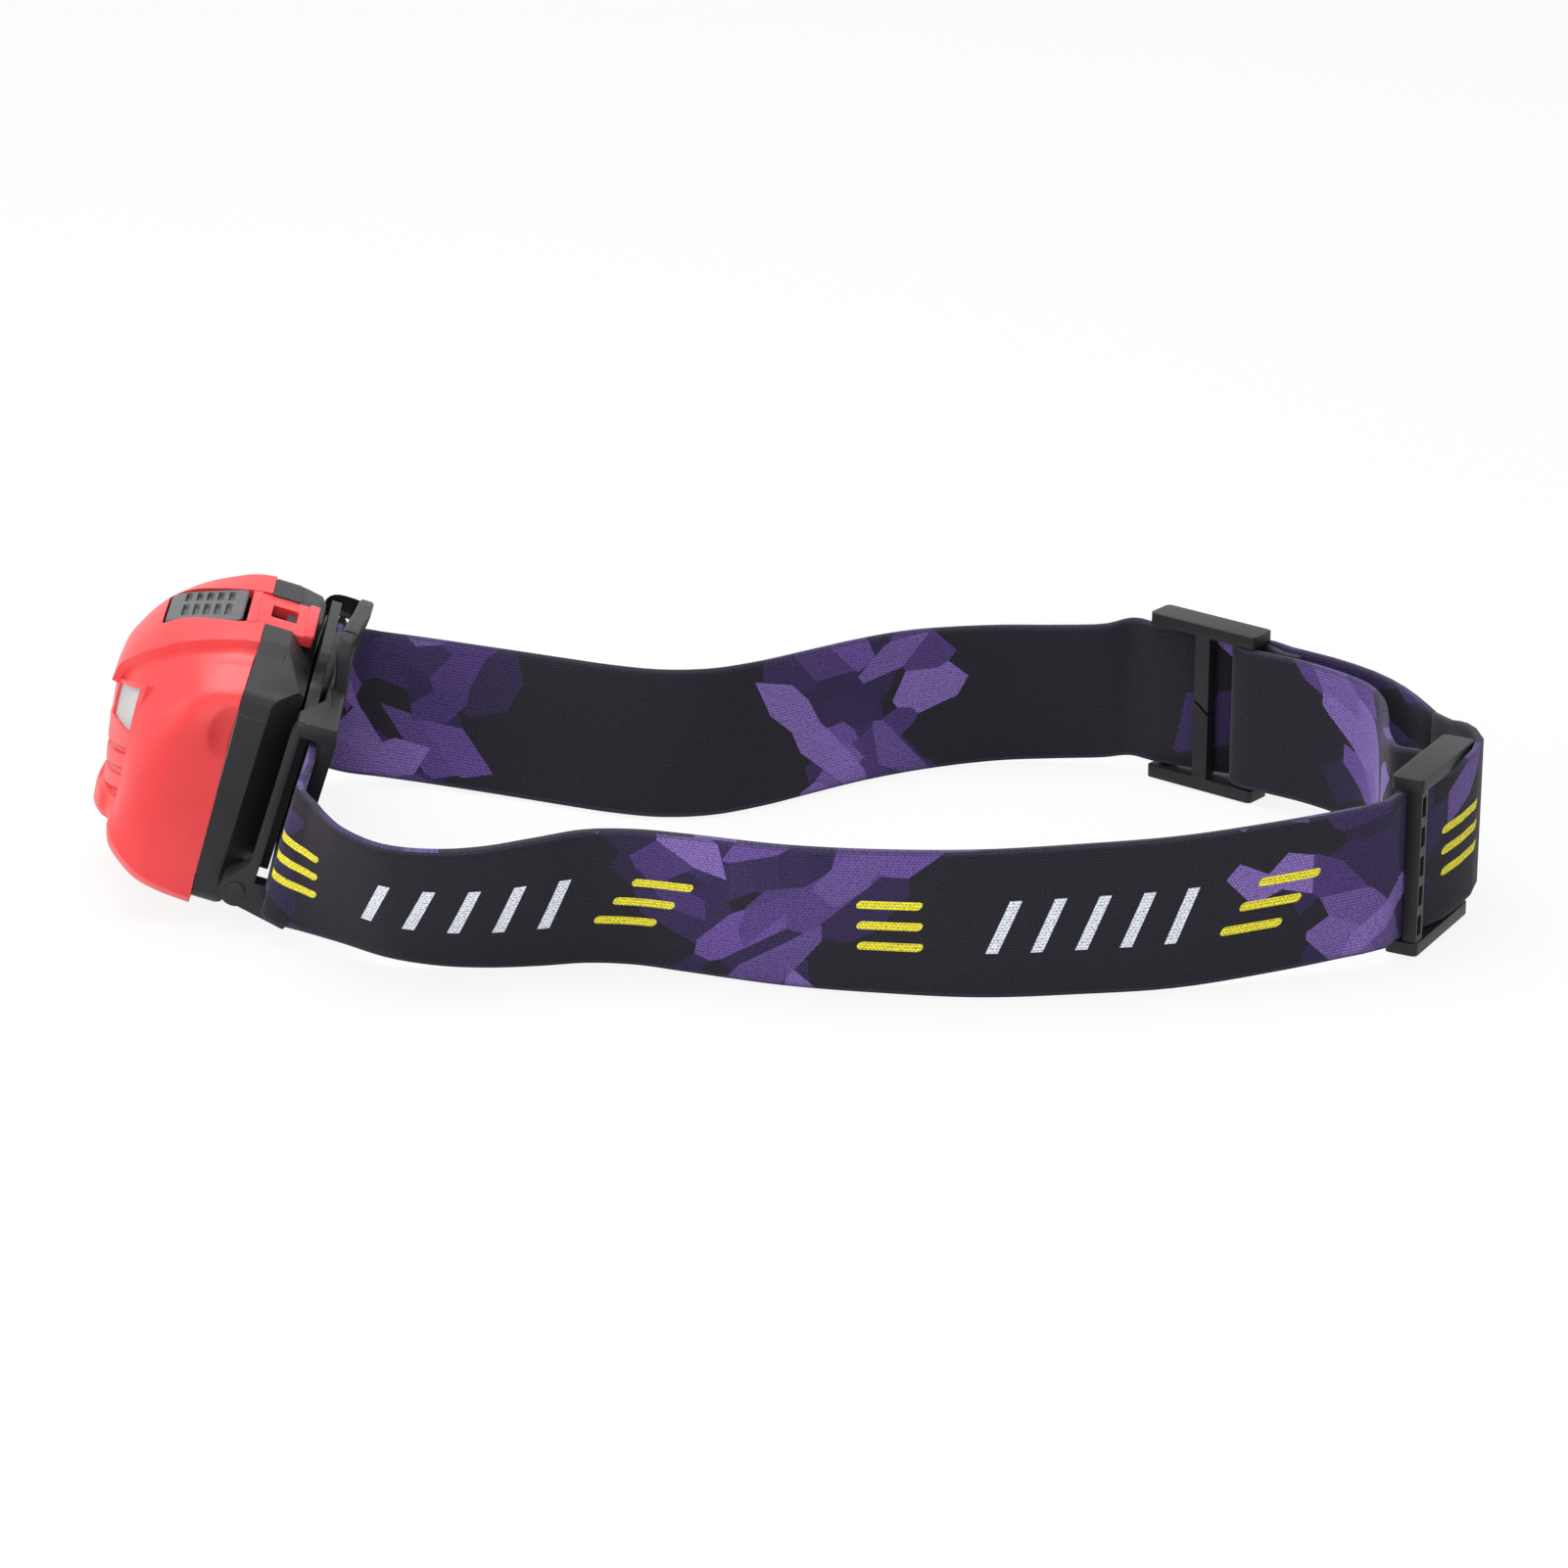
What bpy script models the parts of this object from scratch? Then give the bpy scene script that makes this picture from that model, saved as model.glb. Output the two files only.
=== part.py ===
"""Headlamp on an elastic head strap, modelled as an assembly of separate pieces.

Metres, +Z up. The lamp faces -X, the strap runs back to +X and the whole stands on z = 0.
Lamp pieces are drawn in a leaning frame whose origin is on the tilt axis: x from front to head,
y across, z up along the lamp's back.
"""
import math

import bmesh
import bpy
from mathutils import Matrix, Vector

# Fits
CLEARANCE = 0.0003
RUNNING_GAP = 0.0005

# Lamp body
LAMP_LEAN = math.radians(18.0)
LAMP_WIDTH = 0.0540
LAMP_HEIGHT = 0.0424
PIVOT_ABOVE_BOTTOM = 0.0062
PIVOT_ABOVE_TABLE = 0.00675
PIVOT_TO_BACK = 0.0015
TOP_FLAT = 0.0300
SHOULDER_DROP = 0.0052
CORNER_RADIUS = 0.0050
WALL = 0.0016

# Battery housing
HOUSING_DEPTH = 0.0090
HOUSING_CHAMFER = 0.0046
CHANNEL_WIDTH = 0.0144
CHANNEL_DEPTH = 0.0021
CATCH_LENGTH = 0.0016
CATCH_WIDTH = 0.0044
CATCH_HEIGHT = 0.0010

# Front cover
COVER_DEPTH = 0.0190
CHIN_RISE = 0.0046
CROWN_DROP = 0.0105
CREST_SETBACK = 0.0095
CREST_DROP = 0.0008
FRONT_SAG = 0.0058
NOSE_RADIUS = 0.0060
CROWN_ROUND = 0.7
HOOD_WIDTH = 0.0310
HOOD_REACH = 0.0020
HOOD_FLAT = 0.0045
HOOD_SLOPE = 0.41
HOOD_KNEE = 0.0035
HOOD_NOSE = 0.0100
HOOD_LIP = 0.0036
HOOD_STEP = 0.0009
WINDOW_WIDTH = 0.0400
WINDOW_HEIGHT = 0.0080
WINDOW_TOP_BELOW_CROWN = 0.0182
LENS_LAP = 0.0010
LENS_THICKNESS = 0.0014

# Cells and contacts
CELL_DIAMETER = 0.0105
SPRING_LENGTH = 0.0043
CELL_GAP = 0.0004
ROOF_SHARE = 1.2
CELL_COUNT = 3
NUB_DIAMETER = 0.0038
NUB_LENGTH = 0.0010
CONTACT_THICKNESS = 0.0004
CONTACT_WIDTH = 0.0056
SPRING_WIRE = 0.0005
SPRING_TURNS = 3
SPRING_WIDE = 0.0056
SPRING_NARROW = 0.0036

# Electronics
INNER_PLATE_THICKNESS = 0.0012
BOARD_THICKNESS = 0.0012
BOARD_WIDTH = 0.0300
BOARD_HEIGHT = 0.0180
BOARD_SETBACK = 0.0036
BOSS_DIAMETER = 0.0042
SCREW_DIAMETER = 0.0020
SCREW_HEAD = 0.0034
SCREW_HEAD_HEIGHT = 0.0010
SCREW_LENGTH = 0.0044
LED_SIZE = 0.0034
LED_HEIGHT = 0.0010
LED_PITCH = 0.0110
SWITCH_WIDTH = 0.0060
SWITCH_DEPTH = 0.0044
SWITCH_PLUNGER = 0.0026

# Mode button
BUTTON_LENGTH = 0.0104
BUTTON_WIDTH = 0.0130
BUTTON_THICKNESS = 0.0030
BUTTON_PROUD = 0.0004
BUTTON_TRAVEL = 0.0010
BUTTON_SETBACK = 0.0048
RIB_ROWS = 2
RIBS_PER_ROW = 5
RIB_DEPTH = 0.0004

# Latch tab
TAB_WIDTH = 0.0136
TAB_THICKNESS = 0.0014
TAB_ROOT = 0.0034
TAB_REACH = 0.0071
TAB_HOLE_LENGTH = 0.0043
TAB_HOLE_WIDTH = 0.0055
TAB_LIP = 0.0012

# Cover hinge
HINGE_PIN_DIAMETER = 0.0012
HINGE_BARREL = 0.0028
HINGE_TONGUE = 0.0180
HINGE_LUG = 0.0036
HINGE_DROP = 0.0007
HINGE_SETBACK = 0.0024

# Mount bracket
PLATE_THICKNESS = 0.0020
EAR_THICKNESS = 0.0035
EAR_DEPTH = 0.0073
EAR_HEIGHT = 0.0310
EAR_FOOT = 0.0092
EAR_FRONT_BAR = 0.0015
EAR_REAR_BAR = 0.0023
KNUCKLE_DIAMETER = 0.0052
KNUCKLE_CHORD = 0.7
FOOT_RADIUS = 0.0005
TILT_PIN_DIAMETER = 0.0024
LOOP_WIDTH = 0.0260
LOOP_HEIGHT = 0.0392
LOOP_BAR = 0.0024
LOOP_DEPTH = 0.0025
LOOP_STANDOFF = 0.0013
LOOP_SPLIT = 0.0005
LOOP_SPLIT_SHARE = 0.68

# Head strap
STRAP_WIDTH = 0.0250
STRAP_THICKNESS = 0.0012

# Slide buckles
BUCKLE_LENGTH = 0.0215
BUCKLE_DEPTH = 0.0055
BUCKLE_RAIL = 0.0021
BUCKLE_BAR = 0.0030
BUCKLE_CORE = 0.0022
BUCKLE_SPLIT = 0.0005
BUCKLE_SPLIT_TURN = math.radians(34.4)
BUCKLE_POCKETS = 5
POCKET_START = 0.3
POCKET_END = 0.8
BAR_DEPTH_SHARE = 0.2
NEAR_BUCKLE_AT = (0.1027, -0.0320)
NEAR_BUCKLE_TURN = math.radians(61.0)
FAR_BUCKLE_AT = (0.0723, 0.0332)
FAR_BUCKLE_TURN = math.radians(-39.1)

# Where the lamp's tilt axis stands
PIVOT_AT = -0.0876

# Derived places in the lamp's frame
HALF_WIDTH = LAMP_WIDTH / 2
BOTTOM_Z = -PIVOT_ABOVE_BOTTOM
TOP_Z = BOTTOM_Z + LAMP_HEIGHT
BACK_X = PIVOT_TO_BACK
PARTING_X = BACK_X - HOUSING_DEPTH
FRONT_X = PARTING_X - COVER_DEPTH
CROWN_Z = TOP_Z - HOOD_STEP
WINDOW_TOP = TOP_Z - WINDOW_TOP_BELOW_CROWN
WINDOW_BOTTOM = WINDOW_TOP - WINDOW_HEIGHT
PLATE_FRONT = BACK_X + RUNNING_GAP
PLATE_BACK = PLATE_FRONT + PLATE_THICKNESS
EAR_INNER = HALF_WIDTH + 2 * RUNNING_GAP
EAR_OUTER = EAR_INNER + EAR_THICKNESS
EAR_FRONT = PLATE_FRONT - 2 * RUNNING_GAP
EAR_BACK = EAR_FRONT + EAR_DEPTH
SLOT_FRONT = EAR_FRONT + EAR_FRONT_BAR
SLOT_BACK = EAR_BACK - EAR_REAR_BAR
SLOT_TOP = EAR_HEIGHT - EAR_REAR_BAR - CLEARANCE
SLOT_BOTTOM = SLOT_TOP - STRAP_WIDTH - 4 * CLEARANCE
STRAP_LINE = PLATE_BACK + CLEARANCE + STRAP_THICKNESS / 2
CELL_PITCH = CELL_DIAMETER + CELL_GAP
CAVITY_HALF = HALF_WIDTH - WALL
CELL_LENGTH = 2 * (CAVITY_HALF - CONTACT_THICKNESS - 2 * CLEARANCE) - SPRING_LENGTH
CELL_X = BACK_X - WALL - HOUSING_CHAMFER / 2 - CELL_DIAMETER / 2 + CLEARANCE
BODY_MIDDLE_Z = (BOTTOM_Z + TOP_Z) / 2
SHOULDER_SLOPE = SHOULDER_DROP / (HALF_WIDTH - TOP_FLAT / 2)
CELL_END = CAVITY_HALF - CONTACT_THICKNESS - 2 * CLEARANCE - NUB_LENGTH
CELL_ROOF = TOP_Z - HOOD_STEP - ROOF_SHARE * WALL - SHOULDER_SLOPE * (CELL_END - TOP_FLAT / 2)
CELL_MIDDLE_Z = CELL_ROOF - 2 * CLEARANCE - CELL_DIAMETER / 2 - (CELL_COUNT - 1) / 2 * CELL_PITCH
CELL_FRONT = CELL_X - CELL_DIAMETER / 2
INNER_PLATE_X = CELL_FRONT - 3 * CLEARANCE - SCREW_HEAD_HEIGHT - INNER_PLATE_THICKNESS
BUCKLE_HEIGHT = STRAP_WIDTH + 2 * CLEARANCE + 2 * BUCKLE_RAIL
STRAP_LIFT = BUCKLE_RAIL + CLEARANCE
ARC_STEPS = 6
ARC_SHARE = 0.45
ROUND_SIDES = 24


def collection(name):
    """A collection linked to the scene, found or made by name."""
    group = bpy.data.collections.get(name)
    if group is None:
        group = bpy.data.collections.new(name)
        bpy.context.scene.collection.children.link(group)
    return group


def clear_scene():
    """Remove every object that the file starts with."""
    for leftover in list(bpy.data.objects):
        bpy.data.objects.remove(leftover, do_unlink=True)


def material(name, colour, roughness, metallic=0.0):
    """A Principled material with one colour."""
    made = bpy.data.materials.new(name)
    made.use_nodes = True
    shader = made.node_tree.nodes["Principled BSDF"]
    shader.inputs["Base Color"].default_value = (*colour, 1.0)
    shader.inputs["Roughness"].default_value = roughness
    shader.inputs["Metallic"].default_value = metallic
    return made


def empty(name, parent, location=(0.0, 0.0, 0.0), rotation=(0.0, 0.0, 0.0)):
    """An empty that carries other objects."""
    made = bpy.data.objects.new(name, None)
    collection("headlamp").objects.link(made)
    made.parent = parent
    made.location = location
    made.rotation_euler = rotation
    return made


def mesh_object(name, bm):
    """A new object holding a bmesh, in the collection of tools until it is named a part."""
    bmesh.ops.recalc_face_normals(bm, faces=bm.faces)
    if bm.calc_volume(signed=True) < 0.0:
        bmesh.ops.reverse_faces(bm, faces=bm.faces)
    mesh = bpy.data.meshes.new(name)
    bm.to_mesh(mesh)
    bm.free()
    made = bpy.data.objects.new(name, mesh)
    collection("headlamp_tools").objects.link(made)
    made.hide_render = True
    made.display_type = "WIRE"
    return made


def to_part(made, carrier, finish, offset=(0.0, 0.0, 0.0)):
    """Make an object a visible part carried by an empty; offset is the empty's place in the drawing."""
    tools = collection("headlamp_tools")
    tools.objects.unlink(made)
    collection("headlamp").objects.link(made)
    made.hide_render = False
    made.display_type = "TEXTURED"
    made.data.materials.append(finish)
    carry(made, carrier, offset)
    return made


def carry(made, carrier, offset=(0.0, 0.0, 0.0)):
    """Parent an object, and the tools of its modifiers, to an empty."""
    made.parent = carrier
    made.location = -Vector(offset)
    for modifier in made.modifiers:
        if modifier.type == "BOOLEAN":
            carry(modifier.object, carrier, offset)


def boolean(target, tool, operation):
    """Cut or join a tool object into a target with a Boolean modifier."""
    modifier = target.modifiers.new(operation.lower(), "BOOLEAN")
    modifier.operation = operation
    modifier.object = tool
    return target


def cut(target, *tools):
    """Cut each tool out of the target."""
    for tool in tools:
        boolean(target, tool, "DIFFERENCE")
    return target


def join(target, *tools):
    """Join each tool to the target."""
    for tool in tools:
        boolean(target, tool, "UNION")
    return target


def common(target, *tools):
    """Keep what the target shares with each tool."""
    for tool in tools:
        boolean(target, tool, "INTERSECT")
    return target


def box(name, low, high):
    """A box between two corners."""
    bm = bmesh.new()
    bmesh.ops.create_cube(bm, size=1.0)
    size = Vector(high) - Vector(low)
    bmesh.ops.scale(bm, vec=size, verts=bm.verts)
    bmesh.ops.translate(bm, vec=Vector(low) + size / 2, verts=bm.verts)
    return mesh_object(name, bm)


AXIS_TURNS = {
    "x": Matrix.Rotation(math.pi / 2, 3, "Y"),
    "y": Matrix.Rotation(-math.pi / 2, 3, "X"),
    "z": Matrix.Identity(3),
}


def rod(name, axis, start, length, diameter, end_diameter=None, sides=ROUND_SIDES):
    """A cylinder or cone from a start point along +x, +y or +z."""
    bm = bmesh.new()
    last = diameter if end_diameter is None else end_diameter
    bmesh.ops.create_cone(bm, cap_ends=True, segments=sides, radius1=diameter / 2, radius2=last / 2,
                          depth=length)
    bmesh.ops.translate(bm, vec=(0.0, 0.0, length / 2), verts=bm.verts)
    bmesh.ops.rotate(bm, matrix=AXIS_TURNS[axis], verts=bm.verts)
    bmesh.ops.translate(bm, vec=start, verts=bm.verts)
    made = mesh_object(name, bm)
    made.data.shade_smooth()
    made.data.set_sharp_from_angle(angle=math.radians(35.0))
    return made


def rounded(corners):
    """Outline points from (u, v, radius) corners, each corner turned into an arc."""
    points = []
    count = len(corners)
    for index, (u, v, radius) in enumerate(corners):
        here = Vector((u, v))
        if radius <= 0.0:
            points.append(here)
            continue
        before = Vector(corners[index - 1][:2]) - here
        after = Vector(corners[(index + 1) % count][:2]) - here
        angle = before.angle(after)
        reach = radius / math.tan(angle / 2)
        reach = min(reach, ARC_SHARE * before.length, ARC_SHARE * after.length)
        start = here + before.normalized() * reach
        end = here + after.normalized() * reach
        for step in range(ARC_STEPS + 1):
            t = step / ARC_STEPS
            points.append((1 - t) ** 2 * start + 2 * t * (1 - t) * here + t * t * end)
    return points


PLANE_AXES = {"x": (1, 2, 0), "y": (0, 2, 1), "z": (0, 1, 2)}


def prism(name, axis, outline, low, high):
    """A filled flat outline extruded along an axis between two heights."""
    curve = bpy.data.curves.new(name, "CURVE")
    curve.dimensions = "2D"
    curve.fill_mode = "BOTH"
    curve.extrude = (high - low) / 2
    spline = curve.splines.new("POLY")
    spline.points.add(len(outline) - 1)
    for point, (u, v) in zip(spline.points, outline):
        point.co = (u, v, 0.0, 1.0)
    spline.use_cyclic_u = True
    drawn = bpy.data.objects.new(name, curve)
    bpy.context.scene.collection.objects.link(drawn)
    graph = bpy.context.evaluated_depsgraph_get()
    mesh = bpy.data.meshes.new_from_object(drawn.evaluated_get(graph))
    bm = bmesh.new()
    bm.from_mesh(mesh)
    bpy.data.objects.remove(drawn, do_unlink=True)
    bmesh.ops.remove_doubles(bm, verts=bm.verts, dist=1e-6)
    bmesh.ops.dissolve_limit(bm, angle_limit=math.radians(0.5), verts=bm.verts, edges=bm.edges)
    first, second, third = PLANE_AXES[axis]
    middle = (low + high) / 2
    for vertex in bm.verts:
        u, v, w = vertex.co
        placed = [0.0, 0.0, 0.0]
        placed[first] = u
        placed[second] = v
        placed[third] = w + middle
        vertex.co = placed
    return mesh_object(name, bm)


def front_outline(inset=0.0, drop=0.0):
    """The lamp seen from the front: flat top, slanted shoulders, rounded bottom corners."""
    half = HALF_WIDTH - inset
    top = TOP_Z - inset - drop
    flat = TOP_FLAT / 2 - inset * (math.hypot(1.0, SHOULDER_SLOPE) - 1.0) / SHOULDER_SLOPE
    shoulder = top - SHOULDER_SLOPE * (half - flat)
    low = BOTTOM_Z + inset
    soft = max(CORNER_RADIUS - inset, 0.001)
    return rounded([
        (-half, low, soft), (half, low, soft), (half, shoulder, soft / 2),
        (flat, top, soft), (-flat, top, soft), (-half, shoulder, soft / 2),
    ])


def side_outline(inset=0.0, rear=PARTING_X):
    """The cover seen from the side, with the chin rising to the front and the crown falling to it."""
    low = BOTTOM_Z + inset
    crown = CROWN_Z - inset
    front = FRONT_X + inset
    past = (rear - PARTING_X) / COVER_DEPTH
    soft = max(NOSE_RADIUS - inset, 0.001)
    return rounded([
        (rear, low - CHIN_RISE * past, 0.0), (front, low + CHIN_RISE, soft),
        (front, crown - CROWN_DROP, CROWN_ROUND * soft),
        (PARTING_X - CREST_SETBACK, crown - CREST_DROP, soft), (PARTING_X, crown, 0.0), (rear, crown, 0.0),
    ])


def plan_outline(inset=0.0, rear=PARTING_X):
    """The cover seen from above: sides that draw in a little and a bowed front."""
    half = HALF_WIDTH - inset
    front = FRONT_X + inset
    shoulder = front + FRONT_SAG
    soft = max(NOSE_RADIUS - inset, 0.001)
    bow = [(-half, shoulder, soft)]
    steps = 2 * ARC_STEPS
    reach = half - soft
    for step in range(steps + 1):
        y = -reach + 2 * reach * step / steps
        bow.append((y, front + FRONT_SAG * (y / half) ** 2, 0.0))
    bow.append((half, shoulder, soft))
    corners = [(-half, rear, 0.0), *bow, (half, rear, 0.0)]
    return [(x, y) for y, x in rounded(corners)]


def cover_block(name, inset=0.0, rear=PARTING_X):
    """The cover's rounded body: what the front, side and plan outlines share."""
    reach = LAMP_WIDTH
    body = prism(name, "x", front_outline(inset, HOOD_STEP), FRONT_X - reach, rear)
    side = prism(name + "_side", "y", side_outline(inset, rear + reach), -reach, reach)
    plan = prism(name + "_plan", "z", plan_outline(inset, rear + reach), BOTTOM_Z - reach, TOP_Z + reach)
    return common(body, side, plan)


def hood_line(x):
    """Height of the hood's top face at a place between the parting line and the front."""
    return TOP_Z - HOOD_SLOPE * max(PARTING_X - HOOD_FLAT - x, 0.0)


def hood_block(name):
    """The raised panel over the top, drawing in to a nose above the window."""
    peak = FRONT_X - HOOD_REACH
    knee = FRONT_X + HOOD_KNEE
    profile = rounded([
        (PARTING_X, WINDOW_TOP, 0.0), (PARTING_X, TOP_Z, 0.0), (PARTING_X - HOOD_FLAT, TOP_Z, NOSE_RADIUS),
        (knee, hood_line(knee), NOSE_RADIUS), (peak, WINDOW_TOP + HOOD_LIP, HOOD_LIP),
        (peak + HOOD_REACH / 2, WINDOW_TOP, 0.0),
    ])
    wide = HOOD_WIDTH / 2
    narrow = HOOD_NOSE / 2
    plan = rounded([
        (PARTING_X + WALL, -wide, 0.0), (PARTING_X - HOOD_FLAT, -wide, NOSE_RADIUS),
        (peak, -narrow, narrow), (peak, narrow, narrow), (PARTING_X - HOOD_FLAT, wide, NOSE_RADIUS),
        (PARTING_X + WALL, wide, 0.0),
    ])
    body = prism(name, "y", profile, -LAMP_WIDTH / 2, LAMP_WIDTH / 2)
    return common(body, prism(name + "_plan", "z", plan, BOTTOM_Z, 2 * TOP_Z))


def slot_for_tab(name, depth):
    """The notch in the cover's top that the latch tab lies in."""
    half = TAB_WIDTH / 2 + CLEARANCE
    root = PARTING_X - TAB_ROOT - CLEARANCE
    return box(name, (root, -half, TOP_Z - depth), (PARTING_X + COVER_DEPTH, half, TOP_Z + COVER_DEPTH))


def button_turn():
    """The hood's fall, as a turn about +y."""
    return -math.atan(HOOD_SLOPE)


def button_middle():
    """The centre of the button's top face, on the hood's line."""
    x = PARTING_X - BUTTON_SETBACK - BUTTON_LENGTH / 2
    return Vector((x, 0.0, hood_line(x)))


def tilted(made):
    """Turn a piece drawn flat about the button's centre into the hood's slope."""
    place = Matrix.Translation(button_middle()) @ Matrix.Rotation(button_turn(), 4, "Y")
    made.data.transform(place)
    return made


def front_at(y):
    """Place of the cover's bowed front at a distance across."""
    return FRONT_X + FRONT_SAG * (y / HALF_WIDTH) ** 2


def boss_places():
    """Across and up places of the inner plate's four screws, clear of the lens."""
    low_across = CAVITY_HALF - WALL - BOSS_DIAMETER / 2 - CLEARANCE
    low = BOTTOM_Z + CHIN_RISE + WALL + BOSS_DIAMETER / 2
    high_across = TOP_FLAT / 2 - BOSS_DIAMETER / 2
    high = WINDOW_TOP + LENS_LAP + CLEARANCE + BOSS_DIAMETER / 2
    return [(-low_across, low), (low_across, low), (-high_across, high), (high_across, high)]


def board_back():
    """Place of the circuit board's rear face."""
    return board_front() + BOARD_THICKNESS


def board_front():
    """Place of the circuit board's front face, behind the lens."""
    return FRONT_X + WALL + LENS_THICKNESS + BOARD_SETBACK


def board_screw_places():
    """Across and up places of the circuit board's two screws."""
    across = BOARD_WIDTH / 2 - SCREW_HEAD
    return [(side * across, WINDOW_BOTTOM - SCREW_HEAD) for side in (-1, 1)]


def make_cover(finish, carrier, offset):
    """The red shell with its hood, window, button hole, bosses and hinge tongue."""
    shell = cover_block("front_cover")
    hood = hood_block("hood")
    join(shell, hood)
    hollow = cover_block("cover_hollow", WALL, PARTING_X + WALL)
    cut(shell, hollow)
    window = box("window", (FRONT_X - COVER_DEPTH, -WINDOW_WIDTH / 2, WINDOW_BOTTOM),
                 (FRONT_X + NOSE_RADIUS, WINDOW_WIDTH / 2, WINDOW_TOP))
    half_y = BUTTON_WIDTH / 2 + CLEARANCE
    half_x = BUTTON_LENGTH / 2 + CLEARANCE
    hole = tilted(box("button_hole", (-half_x, -half_y, -COVER_DEPTH / 3), (half_x, half_y, COVER_DEPTH)))
    cut(shell, window, hole, slot_for_tab("tab_notch", 2 * WALL))
    for index, (y, z) in enumerate(boss_places()):
        front = front_at(y) + WALL / 2
        back = INNER_PLATE_X - CLEARANCE
        post = rod(f"boss_{index}", "x", (front, y, z), back - front, BOSS_DIAMETER)
        join(shell, post)
        bore = rod(f"boss_bore_{index}", "x", (back - SCREW_LENGTH, y, z), COVER_DEPTH,
                   SCREW_DIAMETER + 2 * CLEARANCE)
        cut(shell, bore)
    for index, (y, z) in enumerate(board_screw_places()):
        front = FRONT_X + WALL / 2
        back = board_front() - CLEARANCE
        join(shell, rod(f"post_{index}", "x", (front, y, z), back - front, BOSS_DIAMETER))
        cut(shell, rod(f"post_bore_{index}", "x", (back - SCREW_LENGTH / 2, y, z), COVER_DEPTH,
                       SCREW_DIAMETER + 2 * CLEARANCE))
    half = HINGE_TONGUE / 2
    tongue = box("tongue", (PARTING_X - WALL, -half, hinge_z() - HINGE_BARREL / 2),
                 (hinge_x(), half, BOTTOM_Z + WALL / 2))
    trim = box("tongue_trim", (PARTING_X, -half - WALL, BOTTOM_Z - CLEARANCE),
               (BACK_X, half + WALL, TOP_Z / 2))
    cut(tongue, trim)
    barrel = rod("barrel", "y", (hinge_x(), -half, hinge_z()), HINGE_TONGUE, HINGE_BARREL)
    pin_bore = rod("barrel_bore", "y", (hinge_x(), -LAMP_WIDTH, hinge_z()), 2 * LAMP_WIDTH,
                   HINGE_PIN_DIAMETER + 2 * CLEARANCE)
    join(shell, tongue, barrel)
    cut(shell, pin_bore)
    return to_part(shell, carrier, finish, offset)


def hinge_x():
    """Place of the cover's hinge axis, behind the parting line."""
    return PARTING_X + HINGE_SETBACK


def hinge_z():
    """Height of the cover's hinge axis, under the housing."""
    return BOTTOM_Z - HINGE_DROP


def housing_block(name, inset, front):
    """The housing's body: its front outline, chamfered towards the back on all four sides."""
    back = BACK_X - inset
    chamfer = HOUSING_CHAMFER - inset * (2 - math.sqrt(2))
    start = back - chamfer
    reach = LAMP_WIDTH
    body = prism(name, "x", front_outline(inset), front, back)
    low = BOTTOM_Z + inset
    high = TOP_Z - inset
    half = HALF_WIDTH - inset
    far = front - reach
    side = [(far, low), (start, low), (back, low + chamfer), (back, high - chamfer), (start, high),
            (far, high)]
    plan = [(far, -half), (start, -half), (back, chamfer - half), (back, half - chamfer), (start, half),
            (far, half)]
    swell = 1.0 + CLEARANCE
    plan = [(x, y * swell) for x, y in plan]
    side = [(x, middle_swell(z, swell)) for x, z in side]
    return common(body, prism(name + "_side", "y", side, -reach, reach),
                  prism(name + "_plan", "z", plan, BOTTOM_Z - reach, TOP_Z + reach))


def middle_swell(z, swell):
    """A height moved a hair away from the lamp's middle, to keep faces from lying in one plane."""
    return BODY_MIDDLE_Z + (z - BODY_MIDDLE_Z) * swell


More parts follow.
